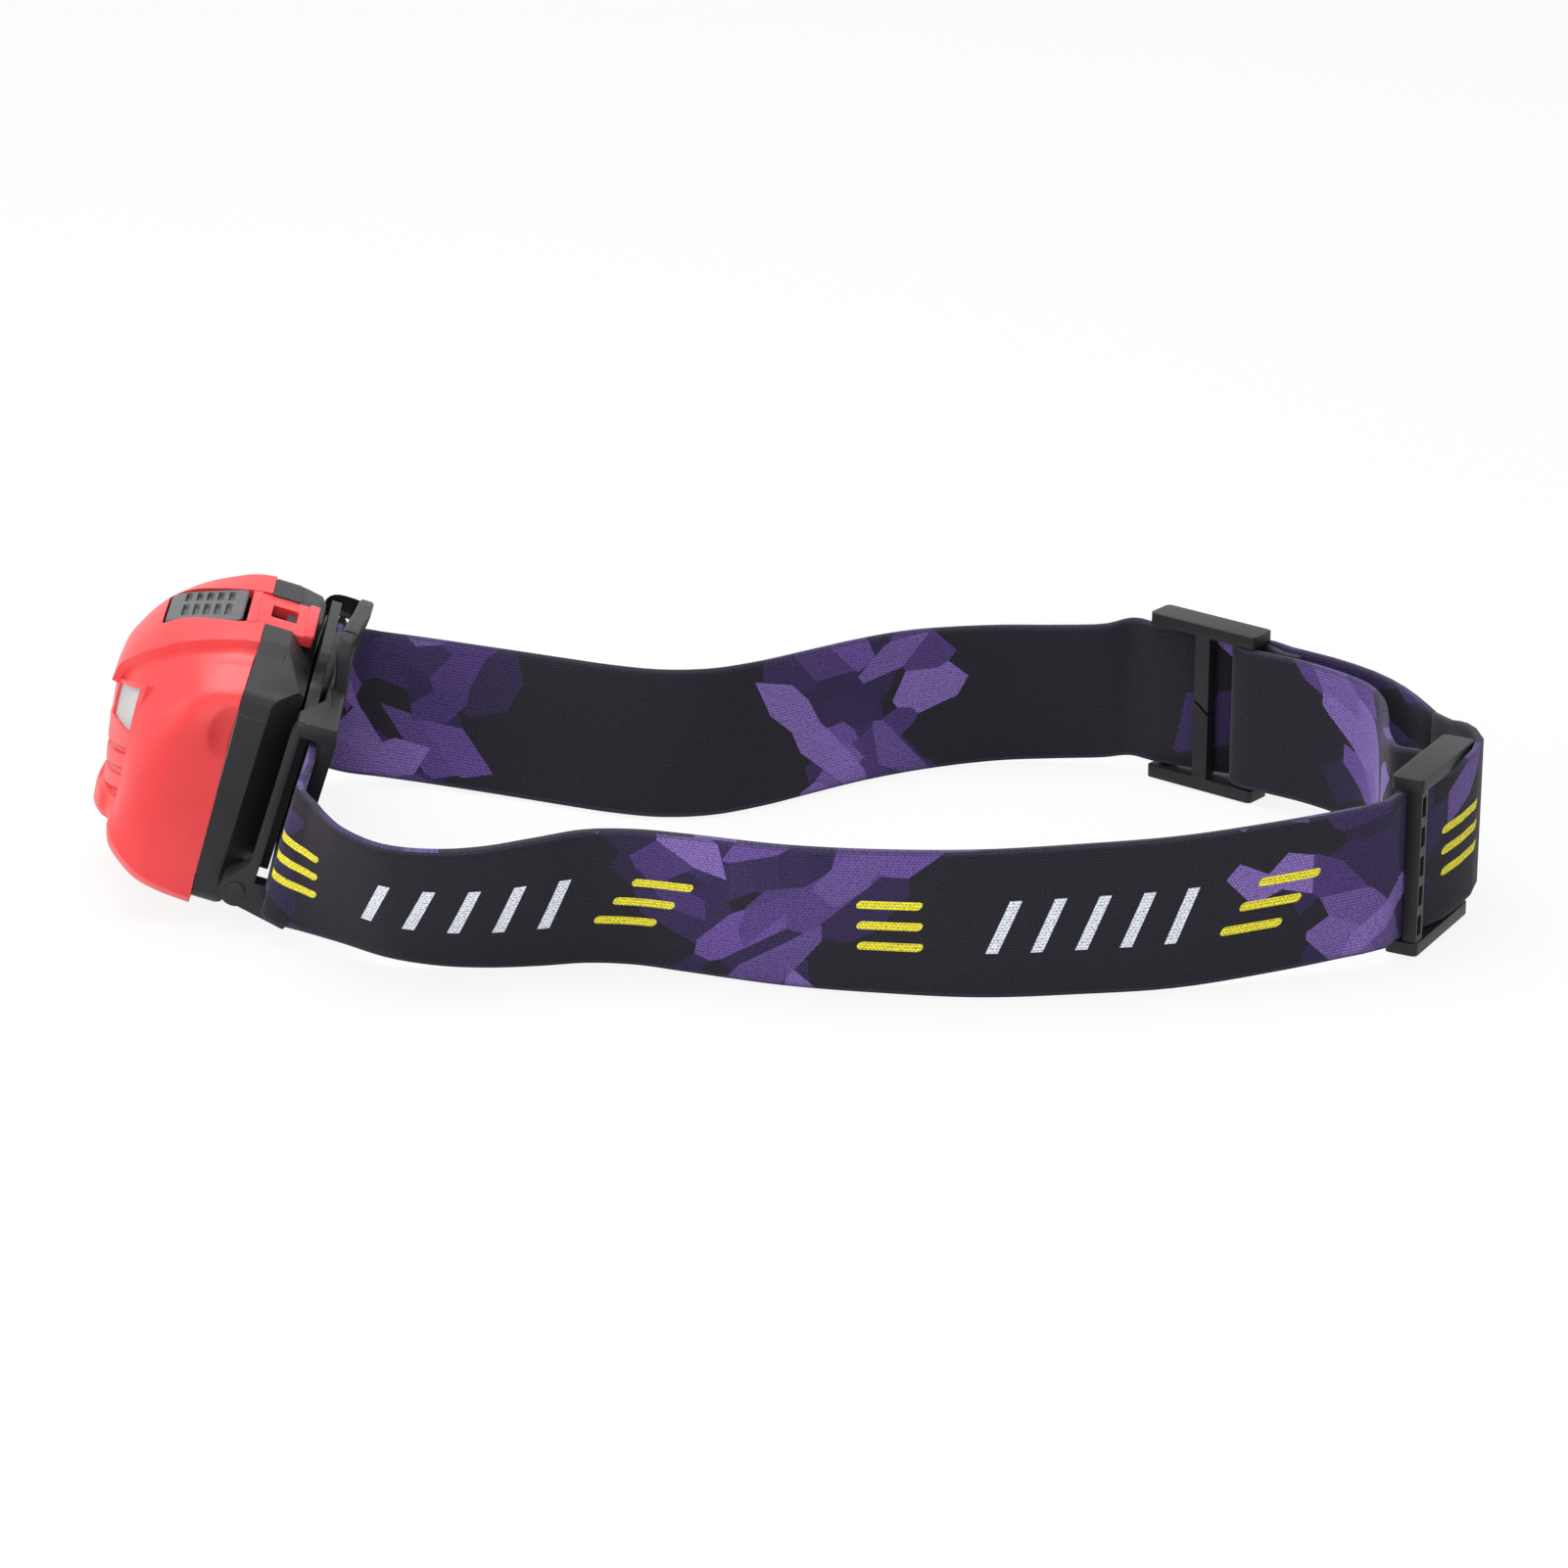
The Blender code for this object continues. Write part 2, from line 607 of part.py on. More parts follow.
def make_housing(finish, carrier):
    """The black battery box with its chamfered back, latch channel, catch, lugs and tilt bosses."""
    front = PARTING_X + CLEARANCE
    shell = housing_block("rear_housing", 0.0, front)
    inner_back = BACK_X - WALL
    cut(shell, housing_block("housing_hollow", WALL, front - WALL))
    half = CHANNEL_WIDTH / 2
    floor = TOP_Z - CHANNEL_DEPTH
    roof = box("channel_floor", (front, -half - WALL, floor - WALL),
               (inner_back, half + WALL, TOP_Z - WALL / 2))
    common(roof, housing_block("channel_keep", CLEARANCE, front))
    join(shell, roof)
    cut(shell, box("channel", (front - WALL, -half, floor), (BACK_X + WALL, half, TOP_Z + WALL)))
    catch_x = PARTING_X + TAB_REACH - TAB_LIP - CATCH_LENGTH - 4 * CLEARANCE
    catch = box("catch", (catch_x, -CATCH_WIDTH / 2, floor - WALL / 2),
                (catch_x + CATCH_LENGTH, CATCH_WIDTH / 2, floor + CLEARANCE + CATCH_HEIGHT))
    join(shell, catch)
    for side in (-1, 1):
        inner = HINGE_TONGUE / 2 + CLEARANCE
        start = inner if side > 0 else -inner - HINGE_LUG
        lug = rod(f"lug_{side}", "y", (hinge_x(), start, hinge_z()), HINGE_LUG, HINGE_BARREL)
        half_web = HINGE_BARREL / 2 - CLEARANCE
        web = box(f"lug_web_{side}", (hinge_x() - half_web, start + CLEARANCE / 2, hinge_z()),
                  (hinge_x() + half_web, start + HINGE_LUG - CLEARANCE / 2, BOTTOM_Z + WALL / 2))
        join(shell, lug, web)
        boss_in = CELL_END + 2 * CLEARANCE
        start = boss_in if side > 0 else -HALF_WIDTH
        boss = rod(f"tilt_boss_{side}", "y", (0.0, start, 0.0), HALF_WIDTH - boss_in, KNUCKLE_DIAMETER)
        join(shell, boss)
        depth = HALF_WIDTH - WALL
        start = depth if side > 0 else -EAR_OUTER
        cut(shell, rod(f"tilt_bore_{side}", "y", (0.0, start, 0.0), EAR_OUTER - depth,
                       TILT_PIN_DIAMETER + 2 * CLEARANCE))
    reach = (HINGE_TONGUE + CLEARANCE) / 2
    groove = rod("hinge_groove", "y", (hinge_x(), -reach, hinge_z()), 2 * reach,
                 HINGE_BARREL + 2 * CLEARANCE)
    reach += HINGE_LUG + 2 * CLEARANCE
    bore = rod("lug_bore", "y", (hinge_x(), -reach, hinge_z()), 2 * reach,
               HINGE_PIN_DIAMETER + 2 * CLEARANCE)
    cut(shell, groove, bore)
    return to_part(shell, carrier, finish)


def make_hinge_pin(finish, carrier):
    """The pin that the cover swings on, as long as its lugs."""
    half = HINGE_TONGUE / 2 + CLEARANCE + HINGE_LUG
    pin = rod("cover_hinge_pin", "y", (hinge_x(), -half, hinge_z()), 2 * half, HINGE_PIN_DIAMETER)
    return to_part(pin, carrier, finish)


def make_tilt_pin(name, side, finish, carrier):
    """A pin through a bracket ear into the housing's boss."""
    inner = HALF_WIDTH - WALL + CLEARANCE
    start = inner if side > 0 else -EAR_OUTER
    pin = rod(name, "y", (0.0, start, 0.0), EAR_OUTER - inner, TILT_PIN_DIAMETER)
    return to_part(pin, carrier, finish)


def make_cells(finish, carrier):
    """The cells, stacked up the housing and turned end for end in pairs."""
    for index in range(CELL_COUNT):
        z = cell_height(index)
        way = 1 if index % 2 == 0 else -1
        tip = CAVITY_HALF - CONTACT_THICKNESS - 2 * CLEARANCE
        can = CELL_LENGTH - NUB_LENGTH
        end = tip - CELL_LENGTH
        start = end if way > 0 else -end - can
        cell = rod(f"battery_cell_{index + 1}", "y", (CELL_X, start, z), can, CELL_DIAMETER)
        start = tip - 2 * NUB_LENGTH if way > 0 else -tip
        join(cell, rod(f"nub_{index + 1}", "y", (CELL_X, start, z), 2 * NUB_LENGTH, NUB_DIAMETER))
        to_part(cell, carrier, finish)


def cell_height(index):
    """Height of one cell's axis."""
    return CELL_MIDDLE_Z + (index - (CELL_COUNT - 1) / 2) * CELL_PITCH


def make_contacts(finish, carrier):
    """A sheet metal contact along each end of the cells."""
    for name, side in (("contact_plate_near", -1), ("contact_plate_far", 1)):
        outer = CAVITY_HALF - CLEARANCE
        inner = outer - CONTACT_THICKNESS
        low = cell_height(0) - NUB_DIAMETER
        high = cell_height(CELL_COUNT - 1) + NUB_DIAMETER
        start = inner if side > 0 else -outer
        plate = box(name, (CELL_X - CONTACT_WIDTH / 2, start, low),
                    (CELL_X + CONTACT_WIDTH / 2, start + CONTACT_THICKNESS, high))
        to_part(plate, carrier, finish)


def make_springs(finish, carrier):
    """A conical spring behind each cell's flat end."""
    for index in range(CELL_COUNT):
        way = -1 if index % 2 == 0 else 1
        outer = CAVITY_HALF - CONTACT_THICKNESS - 2 * CLEARANCE - SPRING_WIRE / 2
        tip = CAVITY_HALF - CONTACT_THICKNESS - 2 * CLEARANCE
        inner = CELL_LENGTH - tip + CLEARANCE + SPRING_WIRE / 2
        spring = coil(f"contact_spring_{index + 1}", way * outer, way * inner, cell_height(index))
        to_part(spring, carrier, finish)


def coil(name, start, end, z):
    """A tapering helix of wire about an axis across the lamp."""
    steps = 12 * SPRING_TURNS
    points = []
    for step in range(steps + 1):
        t = step / steps
        radius = (SPRING_WIDE + (SPRING_NARROW - SPRING_WIDE) * t) / 2
        angle = 2 * math.pi * SPRING_TURNS * t
        x = CELL_X + radius * math.cos(angle)
        points.append((x, start + (end - start) * t, z + radius * math.sin(angle)))
    return wire(name, points, SPRING_WIRE)


def wire(name, points, diameter):
    """A round wire along points, as a closed mesh."""
    curve = bpy.data.curves.new(name, "CURVE")
    curve.dimensions = "3D"
    curve.bevel_depth = diameter / 2
    curve.bevel_resolution = 1
    curve.use_fill_caps = True
    spline = curve.splines.new("POLY")
    spline.points.add(len(points) - 1)
    for point, place in zip(spline.points, points):
        point.co = (*place, 1.0)
    drawn = bpy.data.objects.new(name, curve)
    bpy.context.scene.collection.objects.link(drawn)
    graph = bpy.context.evaluated_depsgraph_get()
    mesh = bpy.data.meshes.new_from_object(drawn.evaluated_get(graph))
    bm = bmesh.new()
    bm.from_mesh(mesh)
    bpy.data.objects.remove(drawn, do_unlink=True)
    bmesh.ops.remove_doubles(bm, verts=bm.verts, dist=1e-7)
    return mesh_object(name, bm)


def make_lens(finish, carrier, offset):
    """The bowed lens behind the window, following the cover's inner front."""
    outer = WALL + CLEARANCE
    lens = prism("lens", "z", plan_outline(outer), WINDOW_BOTTOM - LENS_LAP, WINDOW_TOP + LENS_LAP)
    inner = plan_outline(outer + LENS_THICKNESS, PARTING_X + WALL)
    hollow = prism("lens_hollow", "z", inner, BOTTOM_Z, TOP_Z)
    half = WINDOW_WIDTH / 2 + LENS_LAP
    ends = box("lens_ends", (FRONT_X - WALL, -half, BOTTOM_Z), (PARTING_X, half, TOP_Z))
    common(lens, ends)
    cut(lens, hollow)
    return to_part(lens, carrier, finish, offset)


def make_electronics(finishes, carrier, offset):
    """Circuit board, its screws, the LEDs, the reflector and the switch."""
    front = board_front()
    back = board_back()
    middle = (WINDOW_TOP + WINDOW_BOTTOM) / 2
    low = WINDOW_TOP - BOARD_HEIGHT
    half = BOARD_WIDTH / 2
    board = box("circuit_board", (front, -half, low), (back, half, WINDOW_TOP))
    for index, (y, z) in enumerate(board_screw_places()):
        cut(board, rod(f"board_bore_{index}", "x", (front - WALL, y, z), COVER_DEPTH / 2,
                       SCREW_DIAMETER + 2 * CLEARANCE))
        start = front - SCREW_LENGTH / 2 + CLEARANCE
        screw = rod(f"board_screw_{'near' if y < 0 else 'far'}", "x", (start, y, z),
                    back - front + SCREW_LENGTH / 2, SCREW_DIAMETER)
        join(screw, rod(f"board_screw_head_{index}", "x", (back + CLEARANCE, y, z), SCREW_HEAD_HEIGHT,
                        SCREW_HEAD))
        to_part(screw, carrier, finishes["steel"], offset)
    to_part(board, carrier, finishes["board"], offset)
    tray_front = FRONT_X + WALL + LENS_THICKNESS + 2 * CLEARANCE
    depth = front - CLEARANCE - tray_front
    reach = LED_PITCH + LED_SIZE + WALL
    rear = front - CLEARANCE
    tray = box("reflector", (tray_front, -reach, WINDOW_BOTTOM), (rear, reach, WINDOW_TOP))
    bow = prism("reflector_bow", "z", plan_outline(WALL + LENS_THICKNESS + 2 * CLEARANCE), BOTTOM_Z, TOP_Z)
    common(tray, bow)
    names = ("led_near", "led_centre", "led_far")
    for index, name in enumerate(names):
        y = (index - (len(names) - 1) / 2) * LED_PITCH
        mouth = min(LED_PITCH, WINDOW_HEIGHT) - WALL
        throat = LED_SIZE * math.sqrt(2) + 2 * CLEARANCE
        cup = rod(f"cup_{index}", "x", (tray_front - CLEARANCE, y, middle), depth + 2 * CLEARANCE, mouth,
                  throat)
        cut(tray, cup)
        led = box(name, (front - CLEARANCE - LED_HEIGHT, y - LED_SIZE / 2, middle - LED_SIZE / 2),
                  (front - CLEARANCE, y + LED_SIZE / 2, middle + LED_SIZE / 2))
        to_part(led, carrier, finishes["led"], offset)
    to_part(tray, carrier, finishes["reflector"], offset)
    make_switch(finishes["switch"], carrier, offset)


def make_switch(finish, carrier, offset):
    """The switch on the board's top edge, with its plunger under the button."""
    middle = (board_front() + board_back()) / 2
    under = (BUTTON_THICKNESS - BUTTON_PROUD + BUTTON_TRAVEL + CLEARANCE) / math.cos(button_turn())
    top = hood_line(middle - SWITCH_PLUNGER / 2) - under
    low = WINDOW_TOP + CLEARANCE
    high = low + (top - low) * 2 / 3
    switch = box("tact_switch", (middle - SWITCH_DEPTH / 2, -SWITCH_WIDTH / 2, low),
                 (middle + SWITCH_DEPTH / 2, SWITCH_WIDTH / 2, high))
    foot = (low + high) / 2
    join(switch, rod("plunger", "z", (middle, 0.0, foot), top - foot, SWITCH_PLUNGER))
    return to_part(switch, carrier, finish, offset)


def make_inner_plate(finishes, carrier, offset):
    """The plate that closes the electronics off from the cells, and its screws."""
    back = INNER_PLATE_X + INNER_PLATE_THICKNESS
    inset = WALL + CLEARANCE
    blank = prism("inner_plate", "x", front_outline(inset, HOOD_STEP), INNER_PLATE_X, back)
    side = prism("inner_plate_side", "y", side_outline(inset), -LAMP_WIDTH, LAMP_WIDTH)
    plan = prism("inner_plate_plan", "z", plan_outline(inset), -LAMP_HEIGHT, 2 * LAMP_HEIGHT)
    common(blank, side, plan)
    half_x = BUTTON_LENGTH / 2 + 2 * CLEARANCE
    half_y = BUTTON_WIDTH / 2 + 2 * CLEARANCE
    under = BUTTON_PROUD - BUTTON_THICKNESS - BUTTON_TRAVEL - 2 * CLEARANCE
    cut(blank, tilted(box("button_room", (-half_x, -half_y, under), (half_x, half_y, COVER_DEPTH))))
    for index, (y, z) in enumerate(boss_places()):
        cut(blank, rod(f"plate_bore_{index}", "x", (INNER_PLATE_X - WALL, y, z), WALL * 3,
                       SCREW_DIAMETER + 2 * CLEARANCE))
        start = INNER_PLATE_X - SCREW_LENGTH + 2 * CLEARANCE
        screw = rod(f"plate_screw_{index + 1}", "x", (start, y, z), back - start + 2 * CLEARANCE,
                    SCREW_DIAMETER)
        join(screw, rod(f"plate_screw_head_{index}", "x", (back + CLEARANCE, y, z), SCREW_HEAD_HEIGHT,
                        SCREW_HEAD))
        to_part(screw, carrier, finishes["steel"], offset)
    return to_part(blank, carrier, finishes["black"], offset)


def make_button(finish, carrier, offset):
    """The ribbed key in the hood, with its two rows of ribs and a groove between them."""
    half_x = BUTTON_LENGTH / 2
    half_y = BUTTON_WIDTH / 2
    low = BUTTON_PROUD - BUTTON_THICKNESS
    key = box("mode_button", (-half_x, -half_y, low), (half_x, half_y, BUTTON_PROUD))
    tilted(key)
    pitch = BUTTON_LENGTH / (RIBS_PER_ROW + 1)
    row = BUTTON_WIDTH / RIB_ROWS
    for line in range(RIB_ROWS):
        middle = (line - (RIB_ROWS - 1) / 2) * row
        for index in range(RIBS_PER_ROW):
            x = (index - (RIBS_PER_ROW - 1) / 2) * pitch
            groove = box(f"rib_{line}_{index}", (x - pitch / 4, middle - row / 3, BUTTON_PROUD - RIB_DEPTH),
                         (x + pitch / 4, middle + row / 3, BUTTON_PROUD + RIB_DEPTH))
            cut(key, tilted(groove))
    return to_part(key, carrier, finish, offset)


def make_tab(finish, carrier, offset):
    """The flexing tongue with its hole and end lip."""
    half = TAB_WIDTH / 2
    root = PARTING_X - TAB_ROOT
    tip = PARTING_X + TAB_REACH
    under = TOP_Z - CHANNEL_DEPTH + CLEARANCE
    over = under + TAB_THICKNESS
    fall = hood_line(root) - TOP_Z
    lip = over + TAB_LIP / 2
    profile = [
        (root, under + fall), (PARTING_X, under), (tip, under), (tip, lip), (tip - TAB_LIP, lip),
        (tip - 2 * TAB_LIP, over), (PARTING_X, over), (root, over + fall),
    ]
    tab = prism("latch_tab", "y", profile, -half, half)
    hole_end = tip - TAB_LIP - CLEARANCE
    hole = box("tab_hole", (hole_end - TAB_HOLE_LENGTH, -TAB_HOLE_WIDTH / 2, 0.0),
               (hole_end, TAB_HOLE_WIDTH / 2, TOP_Z + WALL))
    cut(tab, hole)
    return to_part(tab, carrier, finish, offset)


def make_bracket(finish, carrier):
    """Back plate, slotted ears with tilt knuckles, and the split loop above."""
    wide = EAR_INNER + CLEARANCE
    narrow = LOOP_WIDTH / 2
    low = KNUCKLE_DIAMETER / 2 + RUNNING_GAP
    plate_top = LOOP_HEIGHT - LOOP_BAR
    outline = rounded([
        (-wide, low, 0.0), (wide, low, 0.0), (wide, EAR_HEIGHT - EAR_REAR_BAR, NOSE_RADIUS),
        (narrow, EAR_HEIGHT, NOSE_RADIUS), (narrow, plate_top, 2 * NOSE_RADIUS),
        (-narrow, plate_top, 2 * NOSE_RADIUS), (-narrow, EAR_HEIGHT, NOSE_RADIUS),
        (-wide, EAR_HEIGHT - EAR_REAR_BAR, NOSE_RADIUS),
    ])
    bracket = prism("mount_bracket", "x", outline, PLATE_FRONT, PLATE_BACK)
    foot = -PIVOT_ABOVE_TABLE / math.cos(LAMP_LEAN) + EAR_FOOT * math.tan(LAMP_LEAN)
    chord = KNUCKLE_CHORD * KNUCKLE_DIAMETER / 2
    ear = rounded([
        (-chord, -chord, 0.0), (EAR_FOOT, foot, FOOT_RADIUS), (EAR_FOOT, 0.0, 0.0),
        (EAR_BACK, SLOT_BOTTOM + EAR_REAR_BAR, EAR_REAR_BAR), (EAR_BACK, EAR_HEIGHT, EAR_REAR_BAR),
        (EAR_FRONT, EAR_HEIGHT, EAR_DEPTH / 2), (EAR_FRONT, KNUCKLE_DIAMETER, EAR_FRONT_BAR),
        (-chord, chord, 0.0),
    ])
    for side in (-1, 1):
        start = EAR_INNER if side > 0 else -EAR_OUTER
        join(bracket, prism(f"ear_{side}", "y", ear, start, start + EAR_THICKNESS))
        join(bracket, rod(f"knuckle_{side}", "y", (0.0, start, 0.0), EAR_THICKNESS, KNUCKLE_DIAMETER))
    loop = loop_ring()
    join(bracket, loop)
    for side in (-1, 1):
        start = EAR_INNER - WALL if side > 0 else -EAR_OUTER - WALL
        end = start + EAR_THICKNESS + 2 * WALL
        slot = box(f"slot_{side}", (SLOT_FRONT, start, SLOT_BOTTOM), (SLOT_BACK, end, SLOT_TOP))
        bore = rod(f"ear_bore_{side}", "y", (0.0, start, 0.0), EAR_THICKNESS + 2 * WALL,
                   TILT_PIN_DIAMETER + 2 * CLEARANCE)
        cut(bracket, slot, bore)
    return to_part(bracket, carrier, finish)


def loop_ring():
    """The split loop that stands behind the top of the plate on two feet."""
    narrow = LOOP_WIDTH / 2
    low = SLOT_TOP + CLEARANCE
    front = PLATE_BACK + LOOP_STANDOFF
    back = front + LOOP_DEPTH
    outer = rounded([
        (-narrow, low, 0.0), (narrow, low, 0.0), (narrow, LOOP_HEIGHT, 2 * NOSE_RADIUS),
        (-narrow, LOOP_HEIGHT, 2 * NOSE_RADIUS),
    ])
    inside = narrow - LOOP_BAR
    sill = EAR_HEIGHT
    crest = LOOP_HEIGHT - LOOP_BAR
    inner = rounded([
        (-inside, sill, LOOP_BAR), (inside, sill, LOOP_BAR), (inside, crest, 2 * NOSE_RADIUS),
        (-inside, crest, 2 * NOSE_RADIUS),
    ])
    ring = prism("top_loop", "x", outer, PLATE_BACK - WALL, back)
    cut(ring, prism("top_loop_hole", "x", inner, PLATE_BACK - 2 * WALL, back + WALL))
    gap = box("top_loop_gap", (PLATE_BACK - 2 * WALL, -narrow - WALL, sill),
              (front, narrow + WALL, LOOP_HEIGHT + WALL))
    split_y = -LOOP_SPLIT_SHARE * narrow
    split = box("top_loop_split", (front - WALL, split_y, sill),
                (back + WALL, split_y + LOOP_SPLIT, LOOP_HEIGHT + WALL))
    return cut(ring, gap, split)


def lamp_point(x, y, z):
    """A place in the lamp's frame as a place in the whole object's frame."""
    turned = Matrix.Rotation(LAMP_LEAN, 3, "Y") @ Vector((x, y, z))
    return turned + Vector((PIVOT_AT, 0.0, PIVOT_ABOVE_TABLE))


def buckle_point(at, turn, along, out):
    """A place in a buckle's plan: along the strap towards the rear, and out from the loop."""
    side = 1 if at[1] > 0 else -1
    x = at[0] + along * math.cos(turn) - side * out * math.sin(turn)
    y = at[1] + along * math.sin(turn) + side * out * math.cos(turn)
    return (x, y)


# Hand-chosen places of the strap's lower edge: x, y, height and outward lean in degrees
NEAR_RUN = [
    (-0.0700, -0.0430, 0.0026, 24.0), (-0.0620, -0.0456, 0.0012, 24.0), (-0.0540, -0.0464, 0.0004, 22.5),
    (-0.0464, -0.0462, 0.0000, 20.0), (-0.0387, -0.0456, 0.0000, 16.0), (-0.0310, -0.0444, 0.0000, 12.5),
    (-0.0233, -0.0452, 0.0000, 11.0), (-0.0155, -0.0480, 0.0000, 9.5), (0.0000, -0.0535, 0.0000, 8.0),
    (0.0152, -0.0566, 0.0000, 6.0), (0.0304, -0.0584, 0.0000, 2.5), (0.0457, -0.0572, 0.0000, 0.0),
    (0.0610, -0.0552, 0.0002, -2.0), (0.0768, -0.0506, 0.0010, -1.0), (0.0868, -0.0474, 0.0018, 0.0),
]
FAR_RUN = [
    (-0.0700, 0.0345, 0.0018, 20.0), (-0.0620, 0.0332, 0.0006, 21.0), (-0.0540, 0.0309, 0.0001, 22.0),
    (-0.0458, 0.0276, 0.0000, 22.0), (-0.0375, 0.0239, 0.0000, 20.0), (-0.0290, 0.0204, 0.0000, 17.0),
    (-0.0208, 0.0184, 0.0000, 14.0), (-0.0125, 0.0193, 0.0000, 11.0), (-0.0042, 0.0234, 0.0000, 9.0),
    (0.0041, 0.0292, 0.0000, 8.0), (0.0125, 0.0351, 0.0000, 7.0), (0.0210, 0.0398, 0.0000, 6.0),
    (0.0296, 0.0434, 0.0000, 5.0), (0.0380, 0.0452, 0.0003, 4.0), (0.0465, 0.0450, 0.0008, 2.0),
    (0.0550, 0.0434, 0.0018, 0.0),
]
INNER_RUN = [
    (0.0830, 0.0226, 0.0024, 0.0), (0.0880, 0.0194, 0.0022, 0.0), (0.0930, 0.0155, 0.0018, 0.0),
    (0.0968, 0.0108, 0.0015, 0.0), (0.0984, 0.0050, 0.0012, 0.0), (0.0984, -0.0010, 0.0012, 0.0),
    (0.0978, -0.0080, 0.0014, 0.0), (0.0976, -0.0140, 0.0018, 0.0), (0.0984, -0.0200, 0.0022, 0.0),
]
OUTER_RUN = [
    (0.0913, 0.0226, 0.0022, 0.0), (0.0976, 0.0178, 0.0016, 0.0), (0.1016, 0.0126, 0.0012, 0.0),
    (0.1043, 0.0068, 0.0009, 0.0), (0.1065, -0.0005, 0.0008, 0.0), (0.1083, -0.0080, 0.0010, 0.0),
    (0.1092, -0.0135, 0.0016, 0.0), (0.1096, -0.0185, 0.0021, 0.0),
]
# Steps of the strap's way through a buckle: along it and out from the loop
THROUGH_NEAR = [(-0.0150, -0.0012), (-0.00925, -0.0010), (-0.0046, 0.0002), (0.0, 0.0011), (0.0024, 0.0009),
                (0.0042, -0.0006), (0.0048, -0.0026), (0.0052, -0.0050)]
THROUGH_FAR = [(-0.0150, -0.0012), (-0.00925, -0.0010), (-0.0046, 0.0002), (0.0, 0.0011), (0.0045, 0.0025),
               (0.0091, 0.0039), (0.01435, 0.0032)]
TAIL_FAR = [(0.0180, 0.00045), (0.0155, 0.00015), (0.0135, 0.0006), (0.0113, 0.0016)]
TAIL_NEAR = [(0.0115, -0.00185), (0.0140, -0.0026), (0.0165, -0.0040)]
# Steps of the strap's curl out of an ear: back from its line behind the plate, and out from the ear
CURL_NEAR = [(-0.0002, 0.0), (-0.0008, 0.0020), (-0.0004, 0.0038), (0.0020, 0.0052), (0.0054, 0.0062)]
CURL_FAR = [(-0.0002, 0.0), (-0.0005, 0.0012), (0.0003, 0.0023), (0.0030, 0.0032), (0.0070, 0.0034)]
SAMPLE_STEP = 0.0024


def run_stations(run, side):
    """Strap stations (x, y, z, lean x, lean y) of a free run on one side."""
    stations = []
    for x, y, z, lean in run:
        stations.append((x, y, z, 0.0, side * math.sin(math.radians(lean))))
    return stations


def buckle_stations(at, turn, steps):
    """Upright strap stations in a buckle."""
    stations = []
    for along, out in steps:
        x, y = buckle_point(at, turn, along, out)
        stations.append((x, y, STRAP_LIFT, 0.0, 0.0))
    return stations


def core_along():
    """Place of a buckle's rear bar along the strap."""
    return (BUCKLE_LENGTH - BUCKLE_CORE) / 2 - RUNNING_GAP


def loop_steps(inward):
    """The strap's turn about a buckle's rear bar, from one face round to the other."""
    radius = BUCKLE_CORE / 2 + CLEARANCE + STRAP_THICKNESS / 2
    steps = []
    for step in range(ARC_STEPS + 1):
        angle = math.pi / 2 + math.pi * step / ARC_STEPS
        out = radius * math.sin(angle)
        steps.append((core_along() + radius * math.cos(angle), out if inward else -out))
    return steps


def bracket_stations():
    """Strap stations through both ears and behind the plate, from the near side to the far."""
    low = SLOT_BOTTOM + 2 * CLEARANCE
    plan = []
    for back, out in reversed(CURL_NEAR):
        plan.append((STRAP_LINE + back, -EAR_OUTER - out))
    plan.append((STRAP_LINE, -EAR_INNER))
    plan.append((STRAP_LINE, 0.0))
    plan.append((STRAP_LINE, EAR_INNER))
    for back, out in CURL_FAR:
        plan.append((STRAP_LINE + back, EAR_OUTER + out))
    stations = []
    for x, y in plan:
        place = lamp_point(x, y, low)
        stations.append((*place, math.sin(LAMP_LEAN), 0.0))
    return stations


def strap_stations():
    """The whole strap from its end on the far buckle, round the loop, to its end on the near one."""
    near = (NEAR_BUCKLE_AT, NEAR_BUCKLE_TURN)
    far = (FAR_BUCKLE_AT, FAR_BUCKLE_TURN)
    stations = buckle_stations(*far, TAIL_FAR + loop_steps(True))
    stations += run_stations(INNER_RUN, 1)
    stations += list(reversed(buckle_stations(*near, THROUGH_NEAR)))
    stations += list(reversed(run_stations(NEAR_RUN, -1)))
    stations += bracket_stations()
    stations += run_stations(FAR_RUN, 1)
    stations += buckle_stations(*far, THROUGH_FAR)
    stations += run_stations(OUTER_RUN, 1)
    stations += buckle_stations(*near, loop_steps(True) + TAIL_NEAR)
    return [Vector(station) for station in stations]


def smooth(stations):
    """Points of a smooth curve through the stations, closer together than the sample step."""
    knots = [0.0]
    for before, after in zip(stations, stations[1:]):
        reach = Vector(after[:3]) - Vector(before[:3])
        knots.append(knots[-1] + math.sqrt(reach.length))
    points = []
    for index in range(len(stations) - 1):
        length = (knots[index + 1] - knots[index]) ** 2
        count = max(2, math.ceil(length / SAMPLE_STEP))
        for step in range(count):
            points.append(on_curve(stations, knots, index, step / count))
    points.append(stations[-1])
    return points


def on_curve(stations, knots, index, t):
    """A point between two stations on a curve whose slopes come from their neighbours."""
    span = knots[index + 1] - knots[index]
    start = stations[index]
    end = stations[index + 1]
    leave = slope(stations, knots, index) * span
    arrive = slope(stations, knots, index + 1) * span
    square = t * t
    cube = square * t
    return (start * (2 * cube - 3 * square + 1) + leave * (cube - 2 * square + t)
            + end * (3 * square - 2 * cube) + arrive * (cube - square))


